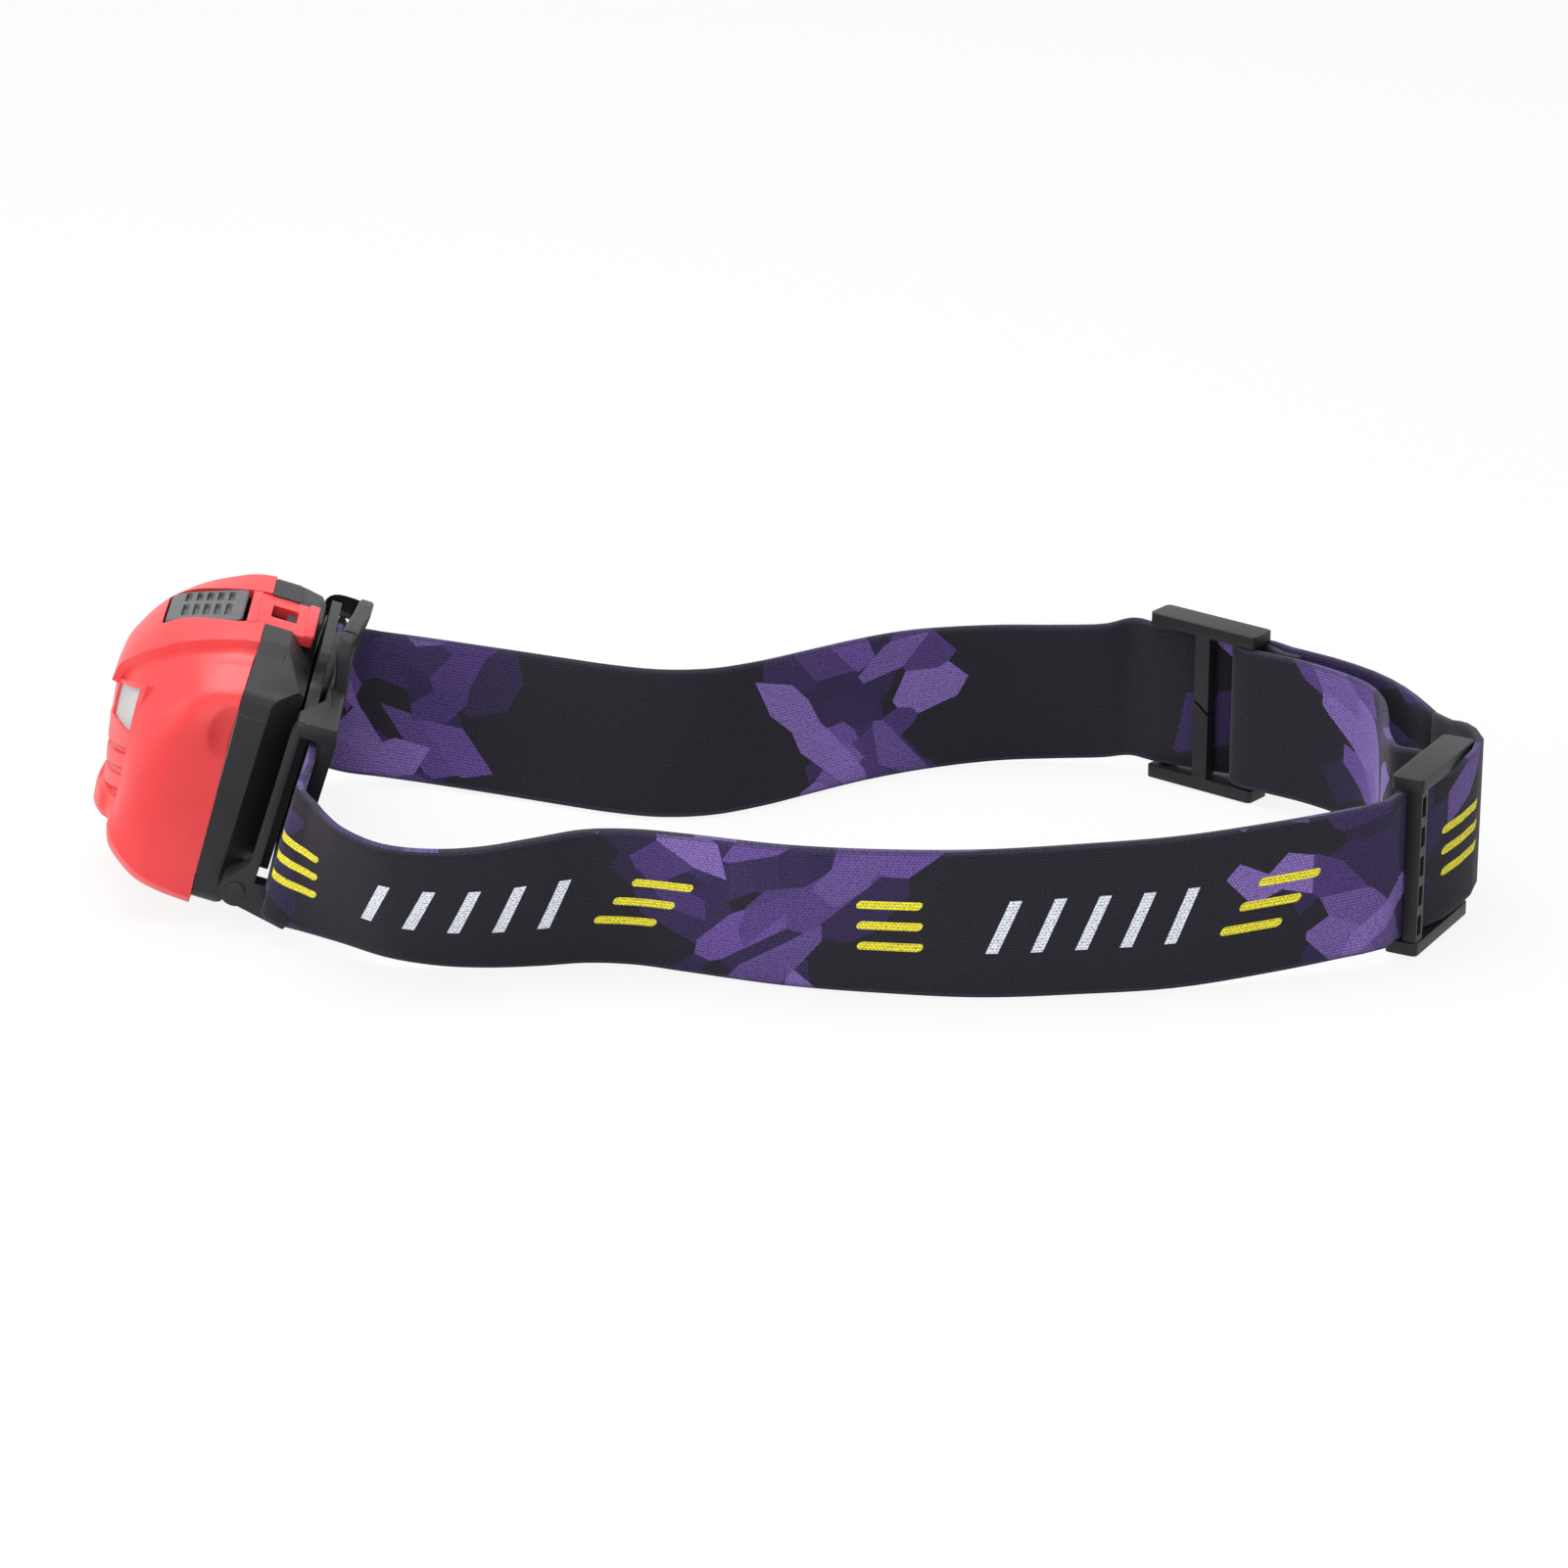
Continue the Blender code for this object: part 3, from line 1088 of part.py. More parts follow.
def slope(stations, knots, index):
    """Slope of the curve at a station."""
    low = max(index - 1, 0)
    high = min(index + 1, len(stations) - 1)
    if low == index or high == index:
        return (stations[high] - stations[low]) / (knots[high] - knots[low])
    before = (stations[index] - stations[low]) / (knots[index] - knots[low])
    after = (stations[high] - stations[index]) / (knots[high] - knots[index])
    share = (knots[index] - knots[low]) / (knots[high] - knots[low])
    return before * (1 - share) + after * share


def make_strap(finish, carrier):
    """The webbing: an upright edge drawn along the route, given its thickness."""
    points = smooth(strap_stations())
    bm = bmesh.new()
    edge = None
    for point in points:
        low = Vector(point[:3])
        lean = Vector((point[3], point[4], 0.0))
        upright = math.sqrt(1.0 - lean.length_squared)
        high = low + (lean + Vector((0.0, 0.0, upright))) * STRAP_WIDTH
        if edge is None:
            edge = bm.edges.new((bm.verts.new(low), bm.verts.new(high)))
            continue
        grown = bmesh.ops.extrude_edge_only(bm, edges=[edge])["geom"]
        lower, upper = sorted((v for v in grown if isinstance(v, bmesh.types.BMVert)), key=lambda v: v.co.z)
        edge = next(e for e in grown if isinstance(e, bmesh.types.BMEdge))
        lower.co = low
        upper.co = high
    strap = mesh_object("head_strap", bm)
    shell = strap.modifiers.new("webbing", "SOLIDIFY")
    shell.thickness = STRAP_THICKNESS
    shell.offset = 0.0
    shell.use_even_offset = True
    return to_part(strap, carrier, finish)


def make_buckle(name, side, finish, carrier):
    """A slide buckle drawn with x along the strap and the loop's outside on the given side of y."""
    half = BUCKLE_LENGTH / 2
    deep = BUCKLE_DEPTH / 2
    corner = BUCKLE_RAIL / 2
    outline = rounded([
        (-half, -deep, corner), (half, -deep, corner), (half, deep, corner), (-half, deep, corner),
    ])
    frame = prism(name, "z", outline, 0.0, BUCKLE_RAIL)
    join(frame, prism(name + "_top_rail", "z", outline, BUCKLE_HEIGHT - BUCKLE_RAIL, BUCKLE_HEIGHT))
    low = BUCKLE_RAIL / 2
    high = BUCKLE_HEIGHT - BUCKLE_RAIL / 2
    bar_face = STRAP_THICKNESS / 2 - BAR_DEPTH_SHARE * BUCKLE_DEPTH + 2 * CLEARANCE
    outer = sorted((side * bar_face, side * (deep - CLEARANCE)))
    lamp_bar = box(name + "_lamp_bar", (-half + corner / 2, outer[0], low),
                   (-half + BUCKLE_BAR, outer[1], high))
    inner = sorted((-side * (deep - CLEARANCE), -side * CLEARANCE / 2))
    centre_bar = box(name + "_centre_bar", (-BUCKLE_BAR / 2, inner[0], low),
                     (BUCKLE_BAR / 2, inner[1], high))
    core = rod(name + "_core", "z", (core_along(), 0.0, low), high - low, BUCKLE_CORE)
    join(frame, lamp_bar, centre_bar, core)
    split = box(name + "_split", (-BUCKLE_BAR, -deep - BUCKLE_BAR, -BUCKLE_SPLIT / 2),
                (BUCKLE_BAR, deep + BUCKLE_BAR, BUCKLE_SPLIT / 2))
    middle = Matrix.Translation((0.0, 0.0, BUCKLE_HEIGHT / 2))
    split.data.transform(middle @ Matrix.Rotation(BUCKLE_SPLIT_TURN, 4, "Y"))
    cut(frame, split)
    pitch = STRAP_WIDTH / BUCKLE_POCKETS
    for index in range(BUCKLE_POCKETS):
        z = BUCKLE_HEIGHT / 2 + (index - (BUCKLE_POCKETS - 1) / 2) * pitch
        face = sorted((side * deep, side * (deep - BUCKLE_RAIL / 2)))
        pocket = box(f"{name}_pocket_{index}", (POCKET_START * BUCKLE_BAR - half, face[0], z - pitch / 3),
                     (POCKET_END * BUCKLE_BAR - half, face[1], z + pitch / 3))
        cut(frame, pocket)
    return to_part(frame, carrier, finish)


def finishes():
    """The materials of every piece."""
    return {
        "red": material("red_plastic", (0.83, 0.05, 0.06), 0.35),
        "black": material("black_plastic", (0.035, 0.036, 0.040), 0.45),
        "strap": material("strap_webbing", (0.025, 0.022, 0.032), 0.9),
        "buckle": material("buckle_plastic", (0.018, 0.018, 0.019), 0.55),
        "grey": material("button_rubber", (0.20, 0.20, 0.21), 0.7),
        "steel": material("steel", (0.62, 0.62, 0.60), 0.3, 1.0),
        "cell": material("cell_sleeve", (0.10, 0.14, 0.30), 0.4),
        "lens": material("clear_lens", (0.85, 0.88, 0.90), 0.1),
        "reflector": material("reflector", (0.80, 0.80, 0.80), 0.15, 0.9),
        "led": material("led", (0.90, 0.85, 0.45), 0.3),
        "board": material("circuit_board", (0.02, 0.16, 0.06), 0.5),
        "switch": material("switch_body", (0.03, 0.03, 0.03), 0.4),
    }


def centre_on_base(root):
    """Move the root so that the parts' box stands centred on the origin."""
    graph = bpy.context.evaluated_depsgraph_get()
    corners = []
    for made in collection("headlamp").objects:
        if made.type == "MESH":
            ready = made.evaluated_get(graph)
            corners += [ready.matrix_world @ vertex.co for vertex in ready.data.vertices]
    low = [min(corner[axis] for corner in corners) for axis in range(3)]
    high = [max(corner[axis] for corner in corners) for axis in range(3)]
    root.location = (-(low[0] + high[0]) / 2, -(low[1] + high[1]) / 2, -low[2])


def main():
    """Build every piece on its carrier."""
    clear_scene()
    looks = finishes()
    root = empty("headlamp_origin", None)
    lamp = empty("lamp_frame", root, (PIVOT_AT, 0.0, PIVOT_ABOVE_TABLE), (0.0, LAMP_LEAN, 0.0))
    make_bracket(looks["black"], lamp)
    tilt = empty("tilt_axis", lamp)
    make_housing(looks["black"], tilt)
    for name, side in (("tilt_pin_near", -1), ("tilt_pin_far", 1)):
        make_tilt_pin(name, side, looks["steel"], lamp)
    make_cells(looks["cell"], tilt)
    make_contacts(looks["steel"], tilt)
    make_springs(looks["steel"], tilt)
    make_hinge_pin(looks["steel"], tilt)
    hinge_at = Vector((hinge_x(), 0.0, hinge_z()))
    hinge = empty("cover_hinge_axis", tilt, hinge_at)
    make_cover(looks["red"], hinge, hinge_at)
    make_lens(looks["lens"], hinge, hinge_at)
    make_electronics(looks, hinge, hinge_at)
    make_inner_plate(looks, hinge, hinge_at)
    press = empty("button_slide_axis", hinge, button_middle() - hinge_at)
    make_button(looks["grey"], press, button_middle())
    flex_at = Vector((PARTING_X - TAB_ROOT, 0.0, TOP_Z - CHANNEL_DEPTH))
    flex = empty("latch_flex_axis", hinge, flex_at - hinge_at)
    make_tab(looks["red"], flex, flex_at)
    make_strap(looks["strap"], root)
    for name, side, at, turn in (("slide_buckle_near", -1, NEAR_BUCKLE_AT, NEAR_BUCKLE_TURN),
                                 ("slide_buckle_far", 1, FAR_BUCKLE_AT, FAR_BUCKLE_TURN)):
        slide = empty(name + "_axis", root, (*at, 0.0), (0.0, 0.0, turn))
        make_buckle(name, side, looks["buckle"], slide)
    centre_on_base(root)


main()
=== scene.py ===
"""Looks of a headlamp on a printed elastic strap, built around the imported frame.

Metres, +Z up. Lamp pieces are drawn in millimetres in the lamp's own leaning frame, whose origin is on the
tilt axis (x from front to head, y across, z up along the lamp's back), and are then set in place.
"""
from __future__ import annotations

import logging
import math
from dataclasses import dataclass, field
from enum import Enum
from typing import Iterable, Sequence

import bmesh
import bpy
from mathutils import Matrix, Vector

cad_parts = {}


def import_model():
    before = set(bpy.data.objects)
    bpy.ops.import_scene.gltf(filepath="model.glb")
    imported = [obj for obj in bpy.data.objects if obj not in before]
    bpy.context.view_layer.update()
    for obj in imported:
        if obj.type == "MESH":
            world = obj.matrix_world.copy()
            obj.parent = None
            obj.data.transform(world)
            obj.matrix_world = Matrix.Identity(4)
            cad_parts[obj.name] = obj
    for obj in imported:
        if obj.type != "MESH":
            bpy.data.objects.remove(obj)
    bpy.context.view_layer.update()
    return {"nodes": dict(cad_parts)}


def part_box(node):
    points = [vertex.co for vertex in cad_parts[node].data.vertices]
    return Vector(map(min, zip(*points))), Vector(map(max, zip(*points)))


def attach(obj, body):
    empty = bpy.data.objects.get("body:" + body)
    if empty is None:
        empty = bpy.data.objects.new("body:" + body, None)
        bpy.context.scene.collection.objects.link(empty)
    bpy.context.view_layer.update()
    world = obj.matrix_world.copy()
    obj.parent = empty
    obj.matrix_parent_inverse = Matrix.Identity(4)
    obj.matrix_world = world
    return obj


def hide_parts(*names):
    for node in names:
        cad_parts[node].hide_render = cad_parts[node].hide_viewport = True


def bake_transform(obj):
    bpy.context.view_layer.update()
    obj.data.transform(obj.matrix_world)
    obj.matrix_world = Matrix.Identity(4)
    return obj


LOG = logging.getLogger("headlamp")

MM = 0.001
TILT_AXIS = Vector((-0.0866, 0.00636, 0.00697))
LAMP_LEAN = math.radians(18.0)
LAMP_PLACE = Matrix.Translation(TILT_AXIS) @ Matrix.Rotation(LAMP_LEAN, 4, "Y") @ Matrix.Scale(MM, 4)
ROUTE_SHIFT = Vector((0.0010, 0.00636, 0.00022))

Piece = bpy.types.Object
Material = bpy.types.Material
Tree = bpy.types.NodeTree
Node = bpy.types.Node
Socket = bpy.types.NodeSocket
Value = "float | Socket"
Point = tuple[float, float, float]
Colour = tuple[float, float, float]


class Body(str, Enum):
    """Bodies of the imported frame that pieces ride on."""

    BRACKET = "bracket"
    HOUSING = "housing"
    COVER = "cover"
    BUTTON = "button"
    LATCH = "latch"
    BUCKLE_NEAR = "buckle_near"
    BUCKLE_FAR = "buckle_far"


class Side(int, Enum):
    """Sides of the lamp, by the sign of y."""

    NEAR = -1
    FAR = 1


# Mesh tools


def rest_mode() -> None:
    """Leave edit mode and deselect everything."""
    if bpy.context.object is not None and bpy.context.object.mode != "OBJECT":
        bpy.ops.object.mode_set(mode="OBJECT")
    bpy.ops.object.select_all(action="DESELECT")


def activate(piece: Piece) -> Piece:
    """Make a piece the only selected object and the active one.

    Args:
        piece: the object to work on.

    Returns:
        The same object.
    """
    rest_mode()
    piece.select_set(True)
    bpy.context.view_layer.objects.active = piece
    return piece


def finish_with(piece: Piece, kind: str, **values: object) -> Piece:
    """Add a modifier to a piece and apply it.

    Args:
        piece: the object to change.
        kind: Blender's type name of the modifier.
        values: the modifier's settings.

    Returns:
        The same object.
    """
    activate(piece)
    modifier = piece.modifiers.new(kind.lower(), kind)
    for name, value in values.items():
        setattr(modifier, name, value)
    bpy.ops.object.modifier_apply(modifier=modifier.name)
    return piece


def cut(piece: Piece, *tools: Piece) -> Piece:
    """Cut closed tools out of a piece, remove them and give the piece."""
    return combine(piece, tools, "DIFFERENCE")


def join(piece: Piece, *tools: Piece) -> Piece:
    """Join closed tools to a piece as one body, remove them and give the piece."""
    return combine(piece, tools, "UNION")


def combine(piece: Piece, tools: Iterable[Piece], way: str) -> Piece:
    """Apply one Boolean after another.

    Args:
        piece: the object to change.
        tools: closed meshes, removed afterwards.
        way: DIFFERENCE, UNION or INTERSECT.

    Returns:
        The changed object.
    """
    for tool in tools:
        finish_with(piece, "BOOLEAN", operation=way, object=tool, solver="EXACT")
        bpy.data.objects.remove(tool, do_unlink=True)
    return piece


def smooth(piece: Piece, angle: float = 35.0) -> Piece:
    """Shade a piece smooth, with sharp edges above an angle.

    Args:
        piece: the object to shade.
        angle: the angle, in degrees.

    Returns:
        The same object.
    """
    activate(piece)
    bpy.ops.object.shade_smooth_by_angle(angle=math.radians(angle))
    return piece


def report(piece: Piece) -> None:
    """Log a finished piece."""
    LOG.info("%s: %d faces", piece.name, len(piece.data.polygons))


def set_in_place(piece: Piece, place: Matrix) -> Piece:
    """Move a piece's mesh from the drawing to its place in the frame.

    Args:
        piece: the object to move.
        place: the move.

    Returns:
        The same object.
    """
    piece.data.transform(place)
    piece.data.update()
    return piece


def block(name: str, low: Point, high: Point, radius: float = 0.0, segments: int = 3) -> Piece:
    """A box between two corners with rounded edges.

    Args:
        name: name of the object.
        low: lowest corner.
        high: highest corner.
        radius: how far the edges are rounded.
        segments: steps of the rounding.

    Returns:
        The new object, unscaled, at the origin.
    """
    rest_mode()
    bpy.ops.mesh.primitive_cube_add(size=1.0)
    piece = bpy.context.object
    piece.name = name
    bpy.ops.object.mode_set(mode="EDIT")
    bpy.ops.mesh.select_all(action="SELECT")
    bpy.ops.transform.resize(value=[b - a for a, b in zip(low, high)])
    bpy.ops.transform.translate(value=[(a + b) / 2 for a, b in zip(low, high)])
    if radius > 0.0:
        bpy.ops.mesh.bevel(offset=radius, offset_type="OFFSET", segments=segments, affect="EDGES")
    bpy.ops.object.mode_set(mode="OBJECT")
    return piece


class Axis(Enum):
    """Axes that an outline is pushed along, with the places of its own two axes."""

    X = (1, 2, 0)
    Y = (0, 2, 1)
    Z = (0, 1, 2)


def slab(name: str, axis: Axis, outline: Sequence[Sequence[float]], low: float, high: float,
         radius: float = 0.0, segments: int = 2) -> Piece:
    """A flat outline pushed along an axis, with the edges of both its faces rounded.

    Args:
        name: name of the object.
        axis: the axis it is pushed along.
        outline: corner points in the axis's plane.
        low: where the slab starts on the axis.
        high: where it ends.
        radius: rounding of the face edges.
        segments: steps of the rounding.

    Returns:
        The new object.
    """
    rest_mode()
    bpy.ops.mesh.primitive_circle_add(vertices=len(outline), fill_type="NGON")
    piece = bpy.context.object
    piece.name = name
    first, second, third = axis.value
    for vertex, (u, v) in zip(piece.data.vertices, outline):
        place = [0.0, 0.0, 0.0]
        place[first] = u
        place[second] = v
        place[third] = low
        vertex.co = place
    push = [0.0, 0.0, 0.0]
    push[third] = high - low
    bpy.ops.object.mode_set(mode="EDIT")
    bpy.ops.mesh.select_all(action="SELECT")
    bpy.ops.mesh.extrude_region_move(TRANSFORM_OT_translate={"value": push})
    bpy.ops.mesh.select_all(action="SELECT")
    bpy.ops.mesh.normals_make_consistent(inside=False)
    bpy.ops.object.mode_set(mode="OBJECT")
    if radius > 0.0:
        round_faces(piece, third, (low, high), radius, segments)
    return piece


def round_faces(piece: Piece, axis: int, levels: Sequence[float], radius: float,
                segments: int) -> None:
    """Bevel the edges that lie on the given levels of an axis.

    Args:
        piece: the object to round.
        axis: 0, 1 or 2.
        levels: places on the axis whose edges are rounded.
        radius: how far the edges are rounded.
        segments: steps of the rounding.
    """
    activate(piece)
    bpy.ops.object.mode_set(mode="EDIT")
    bpy.ops.mesh.select_all(action="DESELECT")
    bpy.ops.mesh.select_mode(type="EDGE")
    drawn = bmesh.from_edit_mesh(piece.data)
    for edge in drawn.edges:
        ends = [vertex.co[axis] for vertex in edge.verts]
        flat = any(all(abs(end - level) < 1e-5 for end in ends) for level in levels)
        edge.select_set(flat)
    bmesh.update_edit_mesh(piece.data)
    bpy.ops.mesh.bevel(offset=radius, offset_type="OFFSET", segments=segments, affect="EDGES")
    bpy.ops.object.mode_set(mode="OBJECT")


def pin(name: str, axis: Axis, centre: Point, radius: float, length: float, sides: int = 32,
        edge: float = 0.0) -> Piece:
    """A round pin with its ends rounded over.

    Args:
        name: name of the object.
        axis: the pin's axis.
        centre: its middle.
        radius: its radius.
        length: its length.
        sides: number of sides.
        edge: rounding of the end edges.

    Returns:
        The new object.
    """
    first, second, third = axis.value
    outline = []
    for step in range(sides):
        angle = 2 * math.pi * step / sides
        outline.append((centre[first] + radius * math.cos(angle), centre[second] + radius * math.sin(angle)))
    return slab(name, axis, outline, centre[third] - length / 2, centre[third] + length / 2, edge)


def rounded(corners: Sequence[tuple[float, float, float]], steps: int = 6) -> list[tuple[float, float]]:
    """Outline points from (u, v, radius) corners, each corner turned into an arc.

    Args:
        corners: corners with the radius of each.
        steps: steps of each arc.

    Returns:
        The outline's points.
    """
    points: list[tuple[float, float]] = []
    count = len(corners)
    for index, (u, v, radius) in enumerate(corners):
        here = Vector((u, v))
        if radius <= 0.0:
            points.append((u, v))
            continue
        before = Vector(corners[index - 1][:2]) - here
        after = Vector(corners[(index + 1) % count][:2]) - here
        reach = radius / math.tan(before.angle(after) / 2)
        reach = min(reach, 0.48 * before.length, 0.48 * after.length)
        start = here + before.normalized() * reach
        end = here + after.normalized() * reach
        for step in range(steps + 1):
            t = step / steps
            place = (1 - t) ** 2 * start + 2 * t * (1 - t) * here + t * t * end
            points.append((place.x, place.y))
    return points


def spline(points: Sequence[Sequence[float]], count: int) -> list[Vector]:
    """Evenly stepped places on a smooth curve through points.

    Args:
        points: places of any dimension that the curve passes through.
        count: how many places to give.

    Returns:
        The places, from the first point to the last.
    """
    stations = [Vector(point) for point in points]
    knots = [0.0]
    for before, after in zip(stations, stations[1:]):
        knots.append(knots[-1] + max((after - before).length, 1e-9) ** 0.5)
    fine: list[Vector] = []
    for index in range(len(stations) - 1):
        for step in range(16):
            fine.append(on_curve(stations, knots, index, step / 16))
    fine.append(stations[-1])
    return evenly(fine, count)


def evenly(fine: Sequence[Vector], count: int) -> list[Vector]:
    """Places at even distances along a fine polyline.

    Args:
        fine: closely spaced places.
        count: how many places to give.

    Returns:
        The even places, with both ends kept.
    """
    reach = [0.0]
    for before, after in zip(fine, fine[1:]):
        reach.append(reach[-1] + (after - before).length)
    places: list[Vector] = []
    index = 0
    for step in range(count):
        goal = reach[-1] * step / (count - 1)
        while index < len(fine) - 2 and reach[index + 1] < goal:
            index += 1
        span = max(reach[index + 1] - reach[index], 1e-12)
        places.append(fine[index].lerp(fine[index + 1], min((goal - reach[index]) / span, 1.0)))
    return places


def on_curve(stations: Sequence[Vector], knots: Sequence[float], index: int, t: float) -> Vector:
    """A place between two stations on a curve whose slopes come from their neighbours.

    Args:
        stations: places on the curve.
        knots: the curve's parameter at each.
        index: station before the place.
        t: share of the way to the next station.

    Returns:
        The place.
    """
    span = knots[index + 1] - knots[index]
    leave = slope(stations, knots, index) * span
    arrive = slope(stations, knots, index + 1) * span
    square = t * t
    cube = square * t
    return (stations[index] * (2 * cube - 3 * square + 1) + leave * (cube - 2 * square + t)
            + stations[index + 1] * (3 * square - 2 * cube) + arrive * (cube - square))


def slope(stations: Sequence[Vector], knots: Sequence[float], index: int) -> Vector:
    """Slope of a curve at a station.

    Args:
        stations: places on the curve.
        knots: the curve's parameter at each.
        index: the station.

    Returns:
        The slope per unit of the parameter.
    """
    low = max(index - 1, 0)
    high = min(index + 1, len(stations) - 1)
    if low == index or high == index:
        return (stations[high] - stations[low]) / (knots[high] - knots[low])
    before = (stations[index] - stations[low]) / (knots[index] - knots[low])
    after = (stations[high] - stations[index]) / (knots[high] - knots[index])
    share = (knots[index] - knots[low]) / (knots[high] - knots[low])
    return before * (1 - share) + after * share


# Materials


class Graph:
    """A node tree with short calls for building it."""

    def __init__(self, tree: Tree) -> None:
        """Keep the tree that nodes are added to."""
        self.tree = tree

    def node(self, kind: str, **values: object) -> Node:
        """Add a node and set its properties.

        Args:
            kind: the node's type name.
            values: properties to set on it.

        Returns:
            The node.
        """
        made = self.tree.nodes.new(kind)
        for name, value in values.items():
            setattr(made, name, value)
        return made

    def feed(self, target: Socket, value: Value) -> None:
        """Link a socket to an input, or set a plain number on it.

        Args:
            target: the input.
            value: the socket or the number.
        """
        if isinstance(value, Socket):
            self.tree.links.new(value, target)
        else:
            target.default_value = value

    def math(self, way: str, first: Value, second: Value = 0.0, clamp: bool = False) -> Socket:
        """A Math node.

        Args:
            way: the operation.
            first: first number or socket.
            second: second number or socket.
            clamp: whether the result is kept from 0 to 1.

        Returns:
            The result's socket.
        """
        made = self.node("ShaderNodeMath", operation=way, use_clamp=clamp)
        self.feed(made.inputs[0], first)
        self.feed(made.inputs[1], second)
        return made.outputs[0]

    def times(self, first: Value, second: Value) -> Socket:
        """Product of two numbers or sockets."""
        return self.math("MULTIPLY", first, second)

    def plus(self, first: Value, second: Value, clamp: bool = False) -> Socket:
        """Sum of two numbers or sockets."""
        return self.math("ADD", first, second, clamp)

    def minus(self, first: Value, second: Value) -> Socket:
        """Difference of two numbers or sockets."""
        return self.math("SUBTRACT", first, second)

    def ramp(self, value: Socket, low: float, high: float, start: float = 0.0, end: float = 1.0) -> Socket:
        """Map a value from one range to another, clamped and eased.

        Args:
            value: the socket to map.
            low: value that gives start.
            high: value that gives end.
            start: result at low.
            end: result at high.

        Returns:
            The mapped value's socket.
        """
        made = self.node("ShaderNodeMapRange", interpolation_type="SMOOTHSTEP")
        for name, number in (("From Min", low), ("From Max", high), ("To Min", start), ("To Max", end)):
            made.inputs[name].default_value = number
        self.feed(made.inputs["Value"], value)
        return made.outputs["Result"]

    def mix(self, share: Value, first: Value | Sequence[float], second: Value | Sequence[float]) -> Socket:
        """Mix two colours.

        Args:
            share: how much of the second.
            first: colour or socket.
            second: colour or socket.

        Returns:
            The mixed colour's socket.
        """
        made = self.node("ShaderNodeMix", data_type="RGBA")
        self.feed(made.inputs[0], share)
        for target, value in ((made.inputs[6], first), (made.inputs[7], second)):
            self.feed(target, value if isinstance(value, Socket) else (*value, 1.0))
        return made.outputs[2]

    def noise(self, place: Socket, scale: Value, detail: float) -> Socket:
        """A noise value about 0.5.

        Args:
            place: the coordinates.
            scale: size of the noise, per unit.
            detail: how fine it goes.

        Returns:
            The value's socket.
        """
        made = self.node("ShaderNodeTexNoise")
        made.inputs["Detail"].default_value = detail
        self.feed(made.inputs["Vector"], place)
        self.feed(made.inputs["Scale"], scale)
        return made.outputs["Fac"]

    def group(self, tree: Tree, **values: Value) -> Node:
        """Place a node group.

        Args:
            tree: the group.
            values: its inputs, with spaces in their names written as _.

        Returns:
            The group's node.
        """
        made = self.node("ShaderNodeGroup", node_tree=tree)
        for name, value in values.items():
            self.feed(made.inputs[name.replace("_", " ")], value)
        return made


def new_group(name: str, inputs: dict[str, tuple[str, float]],
              outputs: dict[str, str]) -> tuple[Graph, Node, Node]:
    """Start a shader node group with named sockets.

    Args:
        name: the group's name.
        inputs: socket type and first value of each input.
        outputs: socket type of each output.

    Returns:
        The group's graph, its input node and its output node.
    """
    tree = bpy.data.node_groups.new(name, "ShaderNodeTree")
    for label, (kind, value) in inputs.items():
        made = tree.interface.new_socket(name=label, in_out="INPUT", socket_type=kind)
        if kind == "NodeSocketFloat":
            made.default_value = value
    for label, kind in outputs.items():
        tree.interface.new_socket(name=label, in_out="OUTPUT", socket_type=kind)
    graph = Graph(tree)
    return graph, graph.node("NodeGroupInput"), graph.node("NodeGroupOutput")


def grain_group() -> Tree:
    """The fine grain and faint unevenness of a moulded surface.

    Returns:
        The node group.
    """
    graph, source, sink = new_group(
        "moulded_grain",
        {"Place": ("NodeSocketVector", 0.0), "Grain Size": ("NodeSocketFloat", 3000.0),
         "Cloud Size": ("NodeSocketFloat", 60.0)},
        {"Height": "NodeSocketFloat", "Cloud": "NodeSocketFloat"},
    )
    for detail, size, result in ((2.0, "Grain Size", "Height"), (3.0, "Cloud Size", "Cloud")):
        noise = graph.noise(source.outputs["Place"], source.outputs[size], detail)
        graph.feed(sink.inputs[result], noise)
    return graph.tree


def knit_group() -> Tree:
    """The raised loops of a knitted elastic webbing, with painted shade between them, from places in
    millimetres along and across it.

    Returns:
        The node group.
    """
    graph, source, sink = new_group(
        "webbing_knit",
        {"Along": ("NodeSocketFloat", 0.0), "Across": ("NodeSocketFloat", 0.0),
         "Loop Length": ("NodeSocketFloat", 0.9), "Loop Width": ("NodeSocketFloat", 0.7)},
        {"Height": "NodeSocketFloat", "Shade": "NodeSocketFloat"},
    )
    along = graph.math("DIVIDE", source.outputs["Along"], source.outputs["Loop Length"])
    across = graph.math("DIVIDE", source.outputs["Across"], source.outputs["Loop Width"])
    row = graph.math("FLOOR", across)
    shifted = graph.plus(along, graph.times(row, 0.5))
    rib = graph.math("SINE", graph.times(across, 2 * math.pi))
    loop = graph.math("SINE", graph.times(shifted, 2 * math.pi))
    both = graph.plus(graph.times(rib, 0.55), graph.times(loop, 0.45))
    height = graph.times(graph.plus(both, 1.0), 0.5)
    place = graph.node("ShaderNodeCombineXYZ")
    graph.feed(place.inputs[0], source.outputs["Along"])
    graph.feed(place.inputs[1], source.outputs["Across"])
    fuzz = graph.noise(place.outputs[0], 2.2, 4.0)
    graph.feed(sink.inputs["Height"], graph.plus(height, graph.times(fuzz, 0.8)))
    # Shade is partly painted shade and light, darker between the loops and lighter on their tops, and partly
    # random yarn tone from the fuzz.
    graph.feed(sink.inputs["Shade"], graph.plus(graph.times(height, 0.45), fuzz))
    return graph.tree


